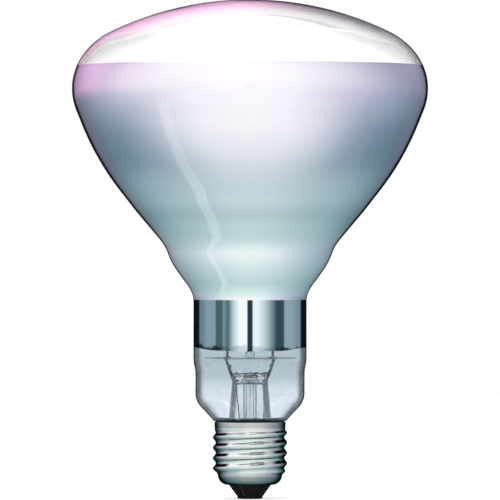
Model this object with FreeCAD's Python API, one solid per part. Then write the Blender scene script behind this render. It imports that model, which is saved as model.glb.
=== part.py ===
import FreeCAD, Part
import math
import os

# Reflector heat lamp: a blown glass bulb with a mirrored reflector, a clear neck and a clear
# face, a glass stem that carries a ring filament, and a screw cap of rolled sheet metal.
# Millimetres. The lamp's axis is +Z, with the cap below and the face looking up.
# The origin is the middle of the contact at the bottom. -Y is the front, +X the right.

# The bulb's widths
bulb_diameter = 125.0
neck_diameter = 39.7
face_edge_inset = 13.5  # from the widest circle in to the edge of the face
skirt_inset = 4.2  # the same, in to where the rounded rim becomes the reflector's skirt
foot_swell = 11.25  # from the neck out to the foot of the reflector
bulge_swell = 9.05  # from the neck out to the top of the bulge
bulge_foot_swell = 2.65  # from the neck out to the foot of the bulge
neck_step = 0.7  # the lower neck is narrower by this much in radius

# The bulb's heights, from the cap's rim upwards
shoulder_lift = 0.9  # the foot of the shoulder stands this far over the cap's rim
shoulder_height = 9.1
lower_neck_height = 6.5
neck_step_height = 6.0
neck_height = 19.8
flare_height = 6.4
bulge_height = 10.6
knuckle_height = 4.1
reflector_height = 39.2
rim_lower_height = 14.4
rim_upper_height = 19.9
face_rise = 11.3

# The way the outline heads at some of its stations: 90 is straight down, more is inwards
skirt_heading = 113.0
foot_heading = 133.0
bulge_heading = 109.0
bulge_foot_heading = 128.0
shoulder_heading = 131.0

glass_wall = 0.9
shoulder_overhang = 0.8  # from the collar out to the foot of the shoulder
turn_heading = 170.0  # where the shoulder turns in over the cap's rim
rim_clearance = 0.2
seal_turn_height = 1.0  # from the turn down to the straight seal inside the cap
seal_length = 6.9

# The mirror, from the neck's foot up to the rim
coating_thickness = 0.1
coating_above_step = 2.5
coating_above_rim = 8.0

# The screw cap. Its crest and pitch are those of the common 27 mm lamp cap
cap_height = 27.0
thread_diameter = 26.2
thread_pitch = 3.629
thread_depth = 1.0
thread_phase_height = 16.1  # a crest passes the right-hand side at this height
sheet = 0.3
collar_height = 2.2
collar_inset = 0.6  # from the thread's crest in to the collar
thread_foot_height = 8.3
thread_fade = 1.8
base_height = 4.9  # the turned-in edge of the shell
base_step = 0.8  # the base is narrower than the thread's root
land_step = 0.1  # the thread runs out just inside the collar and just outside the base

# The black insulator and the contact
insulator_diameter = 14.8
insulator_depth = 3.2
insulator_edge = 0.15  # round the contact
contact_diameter = 8.8
contact_thickness = 0.9
contact_corner = 0.5
eyelet_hole_diameter = 2.4
solder_recess = 0.15

# The cement between the glass and the cap
cement_drop = 5.0
cement_top_clearance = 0.3
cement_clearance = 0.05

# The stem: a flared tube whose top is pressed flat
stem_foot_diameter = 15.0
stem_top_diameter = 12.6
stem_wall = 1.0
stem_foot_above_rim = 1.0  # the flare opens from here down
stem_top_above_rim = 14.0
press_width = 18.0
press_thickness = 5.6
press_height = 8.0
pinch_height = 3.6  # over which the tube is squeezed to the press's thickness
press_squareness = 3.4  # 2 is an ellipse, more is squarer
bore_roof = 0.3
seal_clearance = 0.05

# The exhaust tube in the stem's axis
exhaust_diameter = 4.7
exhaust_bore = 2.9
exhaust_into_press = 1.6
exhaust_above_insulator = 5.4
exhaust_tip_length = 2.8
exhaust_tip_diameter = 1.2
exhaust_port_diameter = 1.8
exhaust_port_lift = 0.3  # over the tube's end

# The leads
inner_lead_diameter = 1.0
weld_bead_diameter = 1.5
lead_spread = 16.0
lead_bend_radius = 2.5
lead_bend_depth = 0.8  # under the press's top
lead_turn_depth = 9.0  # under the filament
seal_wire_diameter = 0.6
seal_wire_spread = 14.3  # at the weld beads
weld_depth = 2.4  # of the beads under the press's top
seal_wire_tail = 1.0  # of the wire that stands out of the press into the tube
seal_bend_radius = 1.2
outer_lead_diameter = 0.4
outer_bend_radius = 0.8
wire_clearance = 0.1
right_lead_turn_drop = 1.3  # under the exhaust tube's tip, where it heads for the contact
right_lead_drop = 2.8
left_lead_inset = 1.3
left_lead_clearance = 1.5  # under the glass, on its way out to the collar
clamp_length = 2.6
clamp_wall = 0.4
clamp_clearance = 0.1

# The heat deflector and its eyelets
deflector_gap = 2.9
deflector_thickness = 0.3
rod_hole_clearance = 0.15
eyelet_wall = 0.3
eyelet_flange = 0.7
eyelet_flange_thickness = 0.25
eyelet_clearance = 0.05

# The filament and what holds it
filament_above_neck = 20.7
filament_ring_diameter = 30.0
filament_coil_diameter = 1.2
filament_span = 260.0
rod_diameter = 3.2
button_diameter = 5.0
button_below_filament = 6.0
support_count = 5
support_diameter = 0.4
support_clearance = 0.05
support_spacing = 36.0
support_root_depth = 0.8

# The solder in the collar's side
solder_plug_diameter = 1.4
solder_dome_diameter = 2.0
solder_dome_height = 0.5

THREAD_SECTIONS_PER_PITCH = 8
SECTION_POINTS = 16
AXIS = FreeCAD.Vector(0, 0, 1)
ORIGIN = FreeCAD.Vector(0, 0, 0)

# Radii that follow from the widths
bulb_radius = bulb_diameter / 2
neck_radius = neck_diameter / 2
lower_neck_radius = neck_radius - neck_step
crest_radius = thread_diameter / 2
root_radius = crest_radius - thread_depth
collar_radius = crest_radius - collar_inset
collar_bore_radius = collar_radius - sheet
root_bore_radius = root_radius - sheet
base_radius = root_radius - base_step
skirt_radius = root_bore_radius - outer_lead_diameter - 2 * wire_clearance
skirt_bore_radius = skirt_radius - glass_wall
neck_bore_radius = neck_radius - glass_wall
insulator_radius = insulator_diameter / 2
contact_radius = contact_diameter / 2
stem_foot_radius = stem_foot_diameter / 2
stem_top_radius = stem_top_diameter / 2
ring_radius = filament_ring_diameter / 2
coil_radius = filament_coil_diameter / 2
lead_radius = inner_lead_diameter / 2
eyelet_radius = lead_radius + eyelet_wall
loop_radius = coil_radius + support_clearance + support_diameter / 2

# Heights that follow from the lengths
shoulder_z = cap_height + shoulder_lift
turn_z = cap_height + rim_clearance
seal_turn_z = turn_z - seal_turn_height
seal_foot_z = seal_turn_z - seal_length
lower_neck_z = shoulder_z + shoulder_height
step_foot_z = lower_neck_z + lower_neck_height
step_top_z = step_foot_z + neck_step_height
neck_top_z = step_top_z + neck_height
bulge_foot_z = neck_top_z + flare_height
bulge_top_z = bulge_foot_z + bulge_height
reflector_foot_z = bulge_top_z + knuckle_height
skirt_z = reflector_foot_z + reflector_height
widest_z = skirt_z + rim_lower_height
face_edge_z = widest_z + rim_upper_height
crown_z = face_edge_z + face_rise
collar_z = cap_height - collar_height
solder_z = cap_height - collar_height / 2
insulator_top_z = base_height + insulator_depth
stem_foot_z = cap_height + stem_foot_above_rim
stem_top_z = cap_height + stem_top_above_rim
stem_roof_z = stem_top_z - bore_roof
press_top_z = stem_top_z + press_height
weld_z = press_top_z - weld_depth
exhaust_top_z = stem_top_z + exhaust_into_press
exhaust_foot_z = insulator_top_z + exhaust_above_insulator
right_lead_turn_z = exhaust_foot_z - right_lead_turn_drop
wire_joint_z = stem_roof_z - seal_wire_tail
eyelet_z = press_top_z + eyelet_clearance
deflector_z = eyelet_z + eyelet_flange_thickness
filament_z = neck_top_z + filament_above_neck
button_z = filament_z - button_below_filament

# Where the seal wires stand in the stem's tube, and the way out for the left outer lead
wire_joint_x = stem_top_radius - stem_wall - seal_wire_diameter / 2 - wire_clearance
side_lead_y = root_bore_radius - wire_clearance - outer_lead_diameter / 2


def turned(angle, radius, height=0.0):
    """A point at an angle in degrees round the axis."""
    return FreeCAD.Vector(
        radius * math.cos(math.radians(angle)), radius * math.sin(math.radians(angle)), height
    )


def rz(radius, height):
    """A point of a lathe profile, which lies in the XZ plane."""
    return FreeCAD.Vector(radius, 0, height)


def edge_between(start, corner, end):
    """The arc from start to end whose tangents meet at corner, or a line where they lie straight."""
    middle = (start + end) * 0.5
    rise = corner - middle
    if rise.Length < 1e-4:
        return Part.LineSegment(start, end).toShape()
    half = start.distanceToPoint(middle)
    leg = start.distanceToPoint(corner)
    return Part.Arc(start, middle + rise * (half / (half + leg)), end).toShape()


def spine(points, bend_radius):
    """A wire through points with every inner corner rounded."""
    edges = []
    start = points[0]
    for before, corner, after in zip(points, points[1:], points[2:]):
        back = (before - corner).normalize()
        on = (after - corner).normalize()
        turn = math.pi - back.getAngle(on)
        reach = bend_radius * math.tan(turn / 2)
        edges.append(Part.LineSegment(start, corner + back * reach).toShape())
        edges.append(edge_between(corner + back * reach, corner, corner + on * reach))
        start = corner + on * reach
    edges.append(Part.LineSegment(start, points[-1]).toShape())
    return Part.Wire(edges)


def round_wire(points, diameter, bend_radius):
    """A round wire of metal along a bent path."""
    path = spine(points, bend_radius)
    section = Part.Wire(Part.makeCircle(diameter / 2, points[0], points[1] - points[0]))
    return path.makePipeShell([section], True, False)


def lathe(points):
    """A solid turned from a closed profile of straight lines."""
    face = Part.Face(Part.makePolygon(points + [points[0]]))
    return face.revolve(ORIGIN, AXIS, 360)


def disc(radius, z_low, z_high, x=0.0, y=0.0):
    """An upright cylinder between two heights."""
    return Part.makeCylinder(radius, z_high - z_low, FreeCAD.Vector(x, y, z_low))


def closed_loft(point_at, heights):
    """A solid through closed sections. point_at gives a point's place from its angle and height."""
    sections = []
    steps = [float(i) for i in range(SECTION_POINTS + 1)]
    for z in heights:
        points = [point_at(360 * i / SECTION_POINTS, z) for i in range(SECTION_POINTS)]
        curve = Part.BSplineCurve()
        curve.interpolate(Points=points, PeriodicFlag=True, Parameters=steps)
        sections.append(Part.Wire(curve.toShape()))
    return Part.makeLoft(sections, True, False)


# The bulb's outline is a chain of stations, each a radius, a height and a heading. Between two
# stations run two arcs that meet smoothly, so any parallel of the outline is made of arcs too.


def bulb_stations():
    face_radius = bulb_radius - face_edge_inset
    face_heading = 2 * math.degrees(math.atan(face_rise / face_radius))
    return [
        (0.0, crown_z, 0.0),
        (face_radius, face_edge_z, face_heading),
        (bulb_radius, widest_z, 90.0),
        (bulb_radius - skirt_inset, skirt_z, skirt_heading),
        (neck_radius + foot_swell, reflector_foot_z, foot_heading),
        (neck_radius + bulge_swell, bulge_top_z, bulge_heading),
        (neck_radius + bulge_foot_swell, bulge_foot_z, bulge_foot_heading),
        (neck_radius, neck_top_z, 90.0),
        (neck_radius, step_top_z, 90.0),
        (lower_neck_radius, step_foot_z, 90.0),
        (lower_neck_radius, lower_neck_z, 90.0),
        (collar_radius + shoulder_overhang, shoulder_z, shoulder_heading),
        (collar_bore_radius, turn_z, turn_heading),
        (skirt_radius, seal_turn_z, 90.0),
        (skirt_radius, seal_foot_z, 90.0),
    ]


def heading_vector(degrees):
    return FreeCAD.Vector(math.cos(math.radians(degrees)), 0, -math.sin(math.radians(degrees)))


def outward(direction):
    """The outline's outward side for a direction of travel."""
    return FreeCAD.Vector(-direction.z, 0, direction.x)


def paired_arcs(start, end):
    """The two arcs between two stations, each as its start, tangent corner and end."""
    a = rz(start[0], start[1])
    b = rz(end[0], end[1])
    leave = heading_vector(start[2])
    arrive = heading_vector(end[2])
    span = b - a
    both = leave + arrive
    spread = 2 * (1 - leave.dot(arrive))
    if spread < 1e-9:
        leg = span.dot(span) / (2 * span.dot(both))
    else:
        along = span.dot(both)
        leg = (math.sqrt(along * along + spread * span.dot(span)) - along) / spread
    first_corner = a + leave * leg
    second_corner = b - arrive * leg
    joint = (first_corner + second_corner) * 0.5
    return [(a, first_corner, joint), (joint, second_corner, b)]


def parallel_edge(start, corner, end, inset):
    """One arc of the outline, moved inwards by inset."""
    middle = (start + end) * 0.5
    rise = corner - middle
    go = (corner - start).normalize()
    come = (end - corner).normalize()
    a = start - outward(go) * inset
    b = end - outward(come) * inset
    if rise.Length < 1e-4:
        return Part.LineSegment(a, b).toShape()
    half = start.distanceToPoint(middle)
    leg = start.distanceToPoint(corner)
    chord = (end - start).normalize()
    top = middle + rise * (half / (half + leg))
    return Part.Arc(a, top - outward(chord) * inset, b).toShape()


def bulb_body(inset):
    """The bulb's outline, moved inwards by inset and turned to a solid."""
    stations = bulb_stations()
    edges = []
    for start, end in zip(stations, stations[1:]):
        for a, corner, b in paired_arcs(start, end):
            edges.append(parallel_edge(a, corner, b, inset))
    crown = rz(0, crown_z - inset)
    foot = rz(skirt_radius - inset, seal_foot_z)
    edges.append(Part.LineSegment(foot, rz(0, seal_foot_z)).toShape())
    edges.append(Part.LineSegment(rz(0, seal_foot_z), crown).toShape())
    face = Part.Face(Part.Wire(edges))
    return face.revolve(ORIGIN, AXIS, 360)


def make_glass_bulb():
    return bulb_body(0).cut(bulb_body(glass_wall))


def make_mirror_coating():
    film = bulb_body(glass_wall).cut(bulb_body(glass_wall + coating_thickness))
    band = disc(bulb_diameter, step_top_z + coating_above_step, widest_z + coating_above_rim)
    return film.common(band)


# The cap. Its thread is rolled in thin sheet, so the inside follows the outside.


def cap_body(inset):
    """The cap's outside, or with an inset its inside: turned-in base, thread and collar."""

    def thread_point(angle, z):
        above_foot = z - thread_foot_height
        below_collar = collar_z - z
        if above_foot < below_collar:
            plain = base_radius + land_step
        else:
            plain = collar_radius - land_step
        share = math.sin(math.pi / 2 * min(1.0, min(above_foot, below_collar) / thread_fade)) ** 2
        phase = math.radians(360 * (z - thread_phase_height) / thread_pitch - angle)
        wave = root_radius + thread_depth * (0.5 + 0.5 * math.cos(phase))
        return turned(angle, plain + (wave - plain) * share - inset, z)

    length = collar_z - thread_foot_height
    count = round(THREAD_SECTIONS_PER_PITCH * length / thread_pitch)
    heights = [thread_foot_height + length * i / count for i in range(count + 1)]
    thread = closed_loft(thread_point, heights)
    collar = disc(collar_radius - inset, collar_z, cap_height)
    return thread.fuse([collar, base_body(inset)])


def base_body(inset):
    """The rounded base under the thread, down to the turned-in edge."""
    top = base_radius - inset
    lip = insulator_diameter / 2
    low = base_height + inset
    corner = rz(top, low)
    reach = min(top - lip, thread_foot_height - low)
    edges = [
        Part.LineSegment(rz(0, low), rz(top - reach, low)).toShape(),
        edge_between(rz(top - reach, low), corner, rz(top, low + reach)),
        Part.LineSegment(rz(top, thread_foot_height), rz(0, thread_foot_height)).toShape(),
        Part.LineSegment(rz(0, thread_foot_height), rz(0, low)).toShape(),
    ]
    if reach < thread_foot_height - low:
        edges.insert(2, Part.LineSegment(rz(top, low + reach), rz(top, thread_foot_height)).toShape())
    face = Part.Face(Part.Wire(edges))
    return face.revolve(ORIGIN, AXIS, 360)


def solder_port(start_y, end_y):
    """The round way through the back of the collar, from one depth to another."""
    start = FreeCAD.Vector(0, start_y, solder_z)
    way = FreeCAD.Vector(0, 1, 0)
    return Part.makeCylinder(solder_plug_diameter / 2, end_y - start_y, start, way)


def make_cap_shell():
    lip_hole = disc(insulator_radius, 0, base_height + sheet)
    shell = cap_body(0).cut(cap_body(sheet).fuse(lip_hole))
    return shell.cut(solder_port(skirt_radius, crest_radius))


def make_cap_insulator():
    hole = eyelet_hole_diameter / 2
    foot = contact_radius + insulator_edge
    cone = lathe([
        rz(hole, contact_thickness),
        rz(foot, contact_thickness),
        rz(insulator_radius, base_height),
        rz(insulator_radius, insulator_top_z),
        rz(hole, insulator_top_z),
    ])
    inside = base_body(sheet).common(disc(crest_radius, base_height, insulator_top_z))
    return cone.fuse(inside.cut(disc(hole, base_height, insulator_top_z))).removeSplitter()


def make_centre_contact():
    plate = disc(contact_radius, 0, contact_thickness)
    lower_rim = [e for e in plate.Edges if e.BoundBox.ZMax < contact_corner and e.Closed]
    rounded = plate.makeFillet(contact_corner, lower_rim)
    return rounded.cut(disc(eyelet_hole_diameter / 2, 0, contact_thickness))


def make_centre_solder(lead):
    plug = disc(eyelet_hole_diameter / 2, solder_recess, 2 * contact_thickness)
    return plug.cut(lead)


def make_side_solder(lead):
    plug = solder_port(skirt_radius + seal_clearance, collar_radius)
    half = solder_dome_diameter / 2
    ball = (half * half + solder_dome_height * solder_dome_height) / (2 * solder_dome_height)
    centre = FreeCAD.Vector(0, collar_radius + solder_dome_height - ball, solder_z)
    outside = disc(bulb_radius, collar_z, cap_height).cut(disc(collar_radius, collar_z, cap_height))
    dome = Part.makeSphere(ball, centre).common(outside)
    return plug.fuse(dome).cut(bulb_body(0)).cut(lead)


def make_capping_cement(lead):
    top = cap_height - cement_top_clearance
    low = collar_z - cement_drop
    below = root_bore_radius - cement_clearance
    ring = lathe([
        rz(skirt_bore_radius, low),
        rz(below, low),
        rz(below, collar_z),
        rz(collar_bore_radius, collar_z),
        rz(collar_bore_radius, top),
        rz(skirt_bore_radius, top),
    ])
    return ring.cut(bulb_body(0)).cut(solder_port(skirt_radius, crest_radius)).cut(lead)


# The stem is drawn as a tube with a flare at its foot, and its top is pressed flat while soft.


def stem_radius(z):
    """The tube's outer radius at a height: a flare at the foot and a slow taper above."""
    if z < stem_foot_z:
        flare_radius = skirt_bore_radius - seal_clearance
        share = (stem_foot_z - z) / (stem_foot_z - seal_foot_z)
        return stem_foot_radius + (flare_radius - stem_foot_radius) * share**3
    share = (z - stem_foot_z) / (stem_top_z - stem_foot_z)
    return stem_foot_radius + (stem_top_radius - stem_foot_radius) * share


def stem_point(angle, z):
    """A point of the stem's outside. Above the tube the section goes from round to flat."""
    if z <= stem_top_z:
        return turned(angle, stem_radius(z), z)
    rise = (z - stem_top_z) / press_height
    pinch = math.sin(math.pi / 2 * min(1.0, (z - stem_top_z) / pinch_height)) ** 2
    half_width = stem_top_radius + (press_width / 2 - stem_top_radius) * rise
    half_thickness = stem_top_radius + (press_thickness / 2 - stem_top_radius) * pinch
    power = 2 / (2 + (press_squareness - 2) * pinch)
    c = math.cos(math.radians(angle))
    s = math.sin(math.radians(angle))
    x = half_width * math.copysign(abs(c) ** power, c)
    y = half_thickness * math.copysign(abs(s) ** power, s)
    return FreeCAD.Vector(x, y, z)


def evenly(low, high, count):
    """Heights from low to high, both included."""
    return [low + (high - low) * i / count for i in range(count + 1)]


def make_stem_glass(wires):
    flare = evenly(seal_foot_z, stem_foot_z, 5)
    tube = evenly(stem_foot_z, stem_top_z, 3)
    press = evenly(stem_top_z, press_top_z, 8)
    outside = closed_loft(stem_point, flare + tube[1:] + press[1:])

    def bore_point(angle, z):
        return turned(angle, stem_radius(z) - stem_wall, z)

    bore = closed_loft(bore_point, flare + evenly(stem_foot_z, stem_roof_z, 3)[1:])
    socket = disc(exhaust_diameter / 2, stem_roof_z, exhaust_top_z)
    port_radius = exhaust_port_diameter / 2
    port_z = exhaust_top_z + exhaust_port_lift + port_radius
    chamber = disc(exhaust_bore / 2, exhaust_top_z, port_z)
    start = FreeCAD.Vector(0, 0, port_z)
    port = Part.makeCylinder(port_radius, stem_top_diameter, start, FreeCAD.Vector(0, -1, 0))
    stem = outside.cut(bore)
    for tool in [socket, chamber, port] + wires:
        stem = stem.cut(tool)
    return stem


def make_exhaust_tube():
    outer = exhaust_diameter / 2
    bore = exhaust_bore / 2
    shoulder = exhaust_foot_z + exhaust_tip_length
    return lathe([
        rz(bore, exhaust_top_z),
        rz(outer, exhaust_top_z),
        rz(outer, shoulder),
        rz(exhaust_tip_diameter / 2, exhaust_foot_z),
        rz(0, exhaust_foot_z),
        rz(0, shoulder),
        rz(bore, shoulder + bore),
    ])


# The wires come in pairs. side is 1 on the right and -1 on the left.


def filament_end(side):
    """The filament's end on one side, and the way its ring runs there."""
    angle = -90 + side * (360 - filament_span) / 2
    return turned(angle, ring_radius, filament_z), turned(angle + 90, 1)


def make_inner_lead(side):
    end, along = filament_end(side)
    x = side * lead_spread / 2
    bead = FreeCAD.Vector(side * seal_wire_spread / 2, 0, weld_z)
    path = [
        bead,
        FreeCAD.Vector(x, 0, press_top_z - lead_bend_depth),
        FreeCAD.Vector(x, 0, filament_z - lead_turn_depth),
        end,
    ]
    wire = round_wire(path, inner_lead_diameter, lead_bend_radius)
    bore = coil_radius + clamp_clearance
    start = end - along * (clamp_length / 2)
    clamp = Part.makeCylinder(bore + clamp_wall, clamp_length, start, along)
    hole = Part.makeCylinder(bore, 2 * clamp_length, end - along * clamp_length, along)
    return wire.fuse([Part.makeSphere(weld_bead_diameter / 2, bead), clamp]).cut(hole)


def make_seal_wire(side, inner_lead):
    path = [
        FreeCAD.Vector(side * wire_joint_x, 0, wire_joint_z),
        FreeCAD.Vector(side * wire_joint_x, 0, stem_top_z),
        FreeCAD.Vector(side * seal_wire_spread / 2, 0, weld_z),
    ]
    return round_wire(path, seal_wire_diameter, seal_bend_radius).cut(inner_lead)


def make_outer_lead_right():
    path = [
        FreeCAD.Vector(wire_joint_x, 0, wire_joint_z),
        FreeCAD.Vector(wire_joint_x, 0, right_lead_turn_z),
        FreeCAD.Vector(0, 0, right_lead_turn_z - right_lead_drop),
        FreeCAD.Vector(0, 0, contact_thickness / 2),
    ]
    return round_wire(path, outer_lead_diameter, outer_bend_radius)


def make_outer_lead_left(seal_wire):
    under = seal_foot_z - left_lead_clearance
    path = [
        FreeCAD.Vector(-wire_joint_x, 0, wire_joint_z),
        FreeCAD.Vector(left_lead_inset - wire_joint_x, 0, cap_height),
        FreeCAD.Vector(left_lead_inset - wire_joint_x, 0, under),
        FreeCAD.Vector(0, side_lead_y, under),
        FreeCAD.Vector(0, side_lead_y, solder_z),
    ]
    return round_wire(path, outer_lead_diameter, outer_bend_radius).cut(seal_wire)


def make_heat_deflector():
    top = deflector_z + deflector_thickness
    plate = disc(neck_bore_radius - deflector_gap, deflector_z, top)
    plate = plate.cut(disc(rod_diameter / 2 + rod_hole_clearance, deflector_z, top))
    for side in (-1, 1):
        x = side * lead_spread / 2
        plate = plate.cut(disc(eyelet_radius + eyelet_clearance, deflector_z, top, x))
    return plate


def make_deflector_eyelet(side):
    x = side * lead_spread / 2
    top = deflector_z + deflector_thickness
    end = top + eyelet_flange_thickness
    tube = disc(eyelet_radius, eyelet_z, end, x)
    lower = disc(lead_radius + eyelet_flange, eyelet_z, deflector_z, x)
    upper = disc(lead_radius + eyelet_flange, top, end, x)
    return tube.fuse([lower, upper]).cut(disc(lead_radius, eyelet_z, end, x)).removeSplitter()


def make_filament_support(number):
    angle = 90 + (number - (support_count - 1) / 2) * support_spacing
    root = turned(angle, button_diameter / 2 - support_root_depth, button_z)
    tip = turned(angle, ring_radius, filament_z - loop_radius)
    wire = Part.makeCylinder(support_diameter / 2, root.distanceToPoint(tip), root, tip - root)
    centre = turned(angle, ring_radius, filament_z)
    loop = Part.makeTorus(loop_radius, support_diameter / 2, centre, turned(angle + 90, 1))
    return wire.fuse(loop)


def make_centre_rod(supports):
    rod = disc(rod_diameter / 2, press_top_z, button_z)
    rod = rod.fuse(Part.makeSphere(button_diameter / 2, FreeCAD.Vector(0, 0, button_z)))
    for support in supports:
        rod = rod.cut(support)
    return rod


def make_filament():
    end, along = filament_end(1)
    face = Part.Face(Part.Wire(Part.makeCircle(coil_radius, end, along)))
    return face.revolve(ORIGIN, AXIS, filament_span)


def build_lamp():
    """Every piece of the lamp by its name."""
    supports = [make_filament_support(n) for n in range(support_count)]
    inner = {side: make_inner_lead(side) for side in (-1, 1)}
    seal = {side: make_seal_wire(side, inner[side]) for side in (-1, 1)}
    outer_left = make_outer_lead_left(seal[-1])
    outer_right = make_outer_lead_right()
    pieces = {
        "glass_bulb": make_glass_bulb(),
        "mirror_coating": make_mirror_coating(),
        "stem_glass": make_stem_glass(list(inner.values()) + list(seal.values())),
        "exhaust_tube": make_exhaust_tube(),
        "inner_lead_left": inner[-1],
        "inner_lead_right": inner[1],
        "seal_wire_left": seal[-1],
        "seal_wire_right": seal[1],
        "outer_lead_left": outer_left,
        "outer_lead_right": outer_right,
        "heat_deflector": make_heat_deflector(),
        "deflector_eyelet_left": make_deflector_eyelet(-1),
        "deflector_eyelet_right": make_deflector_eyelet(1),
        "centre_rod": make_centre_rod(supports),
        "filament": make_filament(),
        "cap_shell": make_cap_shell(),
        "cap_insulator": make_cap_insulator(),
        "centre_contact": make_centre_contact(),
        "centre_solder": make_centre_solder(outer_right),
        "side_solder": make_side_solder(outer_left),
        "capping_cement": make_capping_cement(outer_left),
    }
    for number, support in enumerate(supports, start=1):
        pieces[f"filament_support_{number}"] = support
    return pieces


os.makedirs("parts", exist_ok=True)
for name, shape in build_lamp().items():
    shape.exportStep(f"parts/{name}.step")
    print(f"{name}: {shape.Volume:.1f} mm3, {len(shape.Solids)} solid, valid {shape.isValid()}")
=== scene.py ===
"""The looks of an infrared heat lamp bulb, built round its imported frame.

The lamp stands on its end contact with its axis on +Z. -Y is the front. Lengths are metres:
a size is written in millimetres times MM. Every outline is a list of points from a few named
sizes, and geometry node trees turn, bend, coil or repeat it.
"""

import logging
import math
from dataclasses import astuple, dataclass, field, replace
from enum import Enum
from functools import reduce
from typing import Any, Callable, Iterable, Sequence

import bpy
from mathutils import Euler, Matrix, Vector, noise


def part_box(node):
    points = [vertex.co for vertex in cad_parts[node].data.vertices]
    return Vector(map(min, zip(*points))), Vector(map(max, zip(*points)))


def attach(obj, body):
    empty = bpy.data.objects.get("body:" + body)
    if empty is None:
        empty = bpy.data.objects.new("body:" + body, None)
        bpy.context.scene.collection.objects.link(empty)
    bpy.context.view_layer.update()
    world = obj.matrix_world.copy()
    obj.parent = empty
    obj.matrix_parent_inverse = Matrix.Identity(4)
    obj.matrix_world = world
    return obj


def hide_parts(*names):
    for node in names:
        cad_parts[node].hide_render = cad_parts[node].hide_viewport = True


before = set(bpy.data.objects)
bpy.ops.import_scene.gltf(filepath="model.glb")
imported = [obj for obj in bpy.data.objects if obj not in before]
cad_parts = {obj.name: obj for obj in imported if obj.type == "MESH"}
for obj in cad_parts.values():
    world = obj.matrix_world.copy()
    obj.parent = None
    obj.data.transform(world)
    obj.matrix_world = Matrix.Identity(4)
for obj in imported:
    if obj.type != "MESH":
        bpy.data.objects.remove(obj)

LOG = logging.getLogger("heat_lamp")
MM = 0.001
BODY = "root"
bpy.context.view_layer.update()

Colour = tuple[float, float, float]
Span = tuple[float, float]
Corner = tuple[float, float, float]


class Slot(Enum):
    """The record's material slots."""

    BULB_GLASS = "bulb_glass"
    MIRROR = "mirror_film"
    STEM_GLASS = "stem_glass"
    NICKEL_WIRE = "nickel_wire"
    SEAL_WIRE = "seal_wire"
    COPPER_WIRE = "copper_wire"
    MICA = "mica"
    TUNGSTEN = "tungsten"
    MOLYBDENUM = "molybdenum"
    CAP_METAL = "cap_metal"
    INSULATOR = "insulator_glass"
    CONTACT = "contact_brass"
    SOLDER = "solder"
    CEMENT = "cement"


class Side(Enum):
    """The two sides of the lamp, as the sign of X."""

    LEFT = -1
    RIGHT = 1

    @property
    def word(self) -> str:
        """The side's name as the nodes have it."""
        return self.name.lower()


# Node trees


class Graph:
    """A node tree that is written one node at a time."""

    def __init__(self, tree: Any) -> None:
        """Wraps a shader or geometry node tree."""
        self.tree = tree

    def node(self, kind: str, inputs: dict[Any, Any] | None = None, **settings: Any) -> Any:
        """Adds a node.

        Args:
            kind: the node's type name.
            inputs: values or sockets by the input's name or number.
            settings: the node's own settings.

        Returns:
            The node.
        """
        made = self.tree.nodes.new(kind)
        for name, value in settings.items():
            setattr(made, name, value)
        self.fill(made, inputs or {})
        return made

    def fill(self, node: Any, inputs: dict[Any, Any]) -> None:
        """Sets a node's inputs to values, and links those that are given a socket."""
        for key, value in inputs.items():
            if isinstance(value, bpy.types.NodeSocket):
                self.tree.links.new(value, node.inputs[key])
            else:
                node.inputs[key].default_value = value

    def output(self, kind: str, inputs: dict[Any, Any] | None = None, **settings: Any) -> Any:
        """Adds a node as node() does, and returns its first output."""
        return self.node(kind, inputs, **settings).outputs[0]

    def math(self, operation: str, *values: Any) -> Any:
        """Adds a math node on numbers and returns its result."""
        return self.output("ShaderNodeMath", dict(enumerate(values)), operation=operation)

    def product(self, *values: Any) -> Any:
        """Multiplies two or more numbers."""
        return reduce(lambda a, b: self.math("MULTIPLY", a, b), values)

    def span(self, value: Any, low: float, high: float, to_low: float = 0.0, to_high: float = 1.0) -> Any:
        """Eases a number from low to high into the range to_low to to_high, held at both ends."""
        inputs = {"Value": value, "From Min": low, "From Max": high, "To Min": to_low, "To Max": to_high}
        return self.output("ShaderNodeMapRange", inputs, interpolation_type="SMOOTHSTEP")

    def vector(self, x: Any, y: Any, z: Any) -> Any:
        """Joins three numbers to a vector."""
        return self.output("ShaderNodeCombineXYZ", {0: x, 1: y, 2: z})

    def polar(self, radius: Any, angle: Any, height: Any) -> Any:
        """The place at a radius, an angle round the axis and a height."""
        x = self.product(radius, self.math("COSINE", angle))
        y = self.product(radius, self.math("SINE", angle))
        return self.vector(x, y, height)

    def parts(self, vector: Any) -> list[Any]:
        """The X, Y and Z of a vector."""
        return list(self.node("ShaderNodeSeparateXYZ", {0: vector}).outputs)


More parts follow.
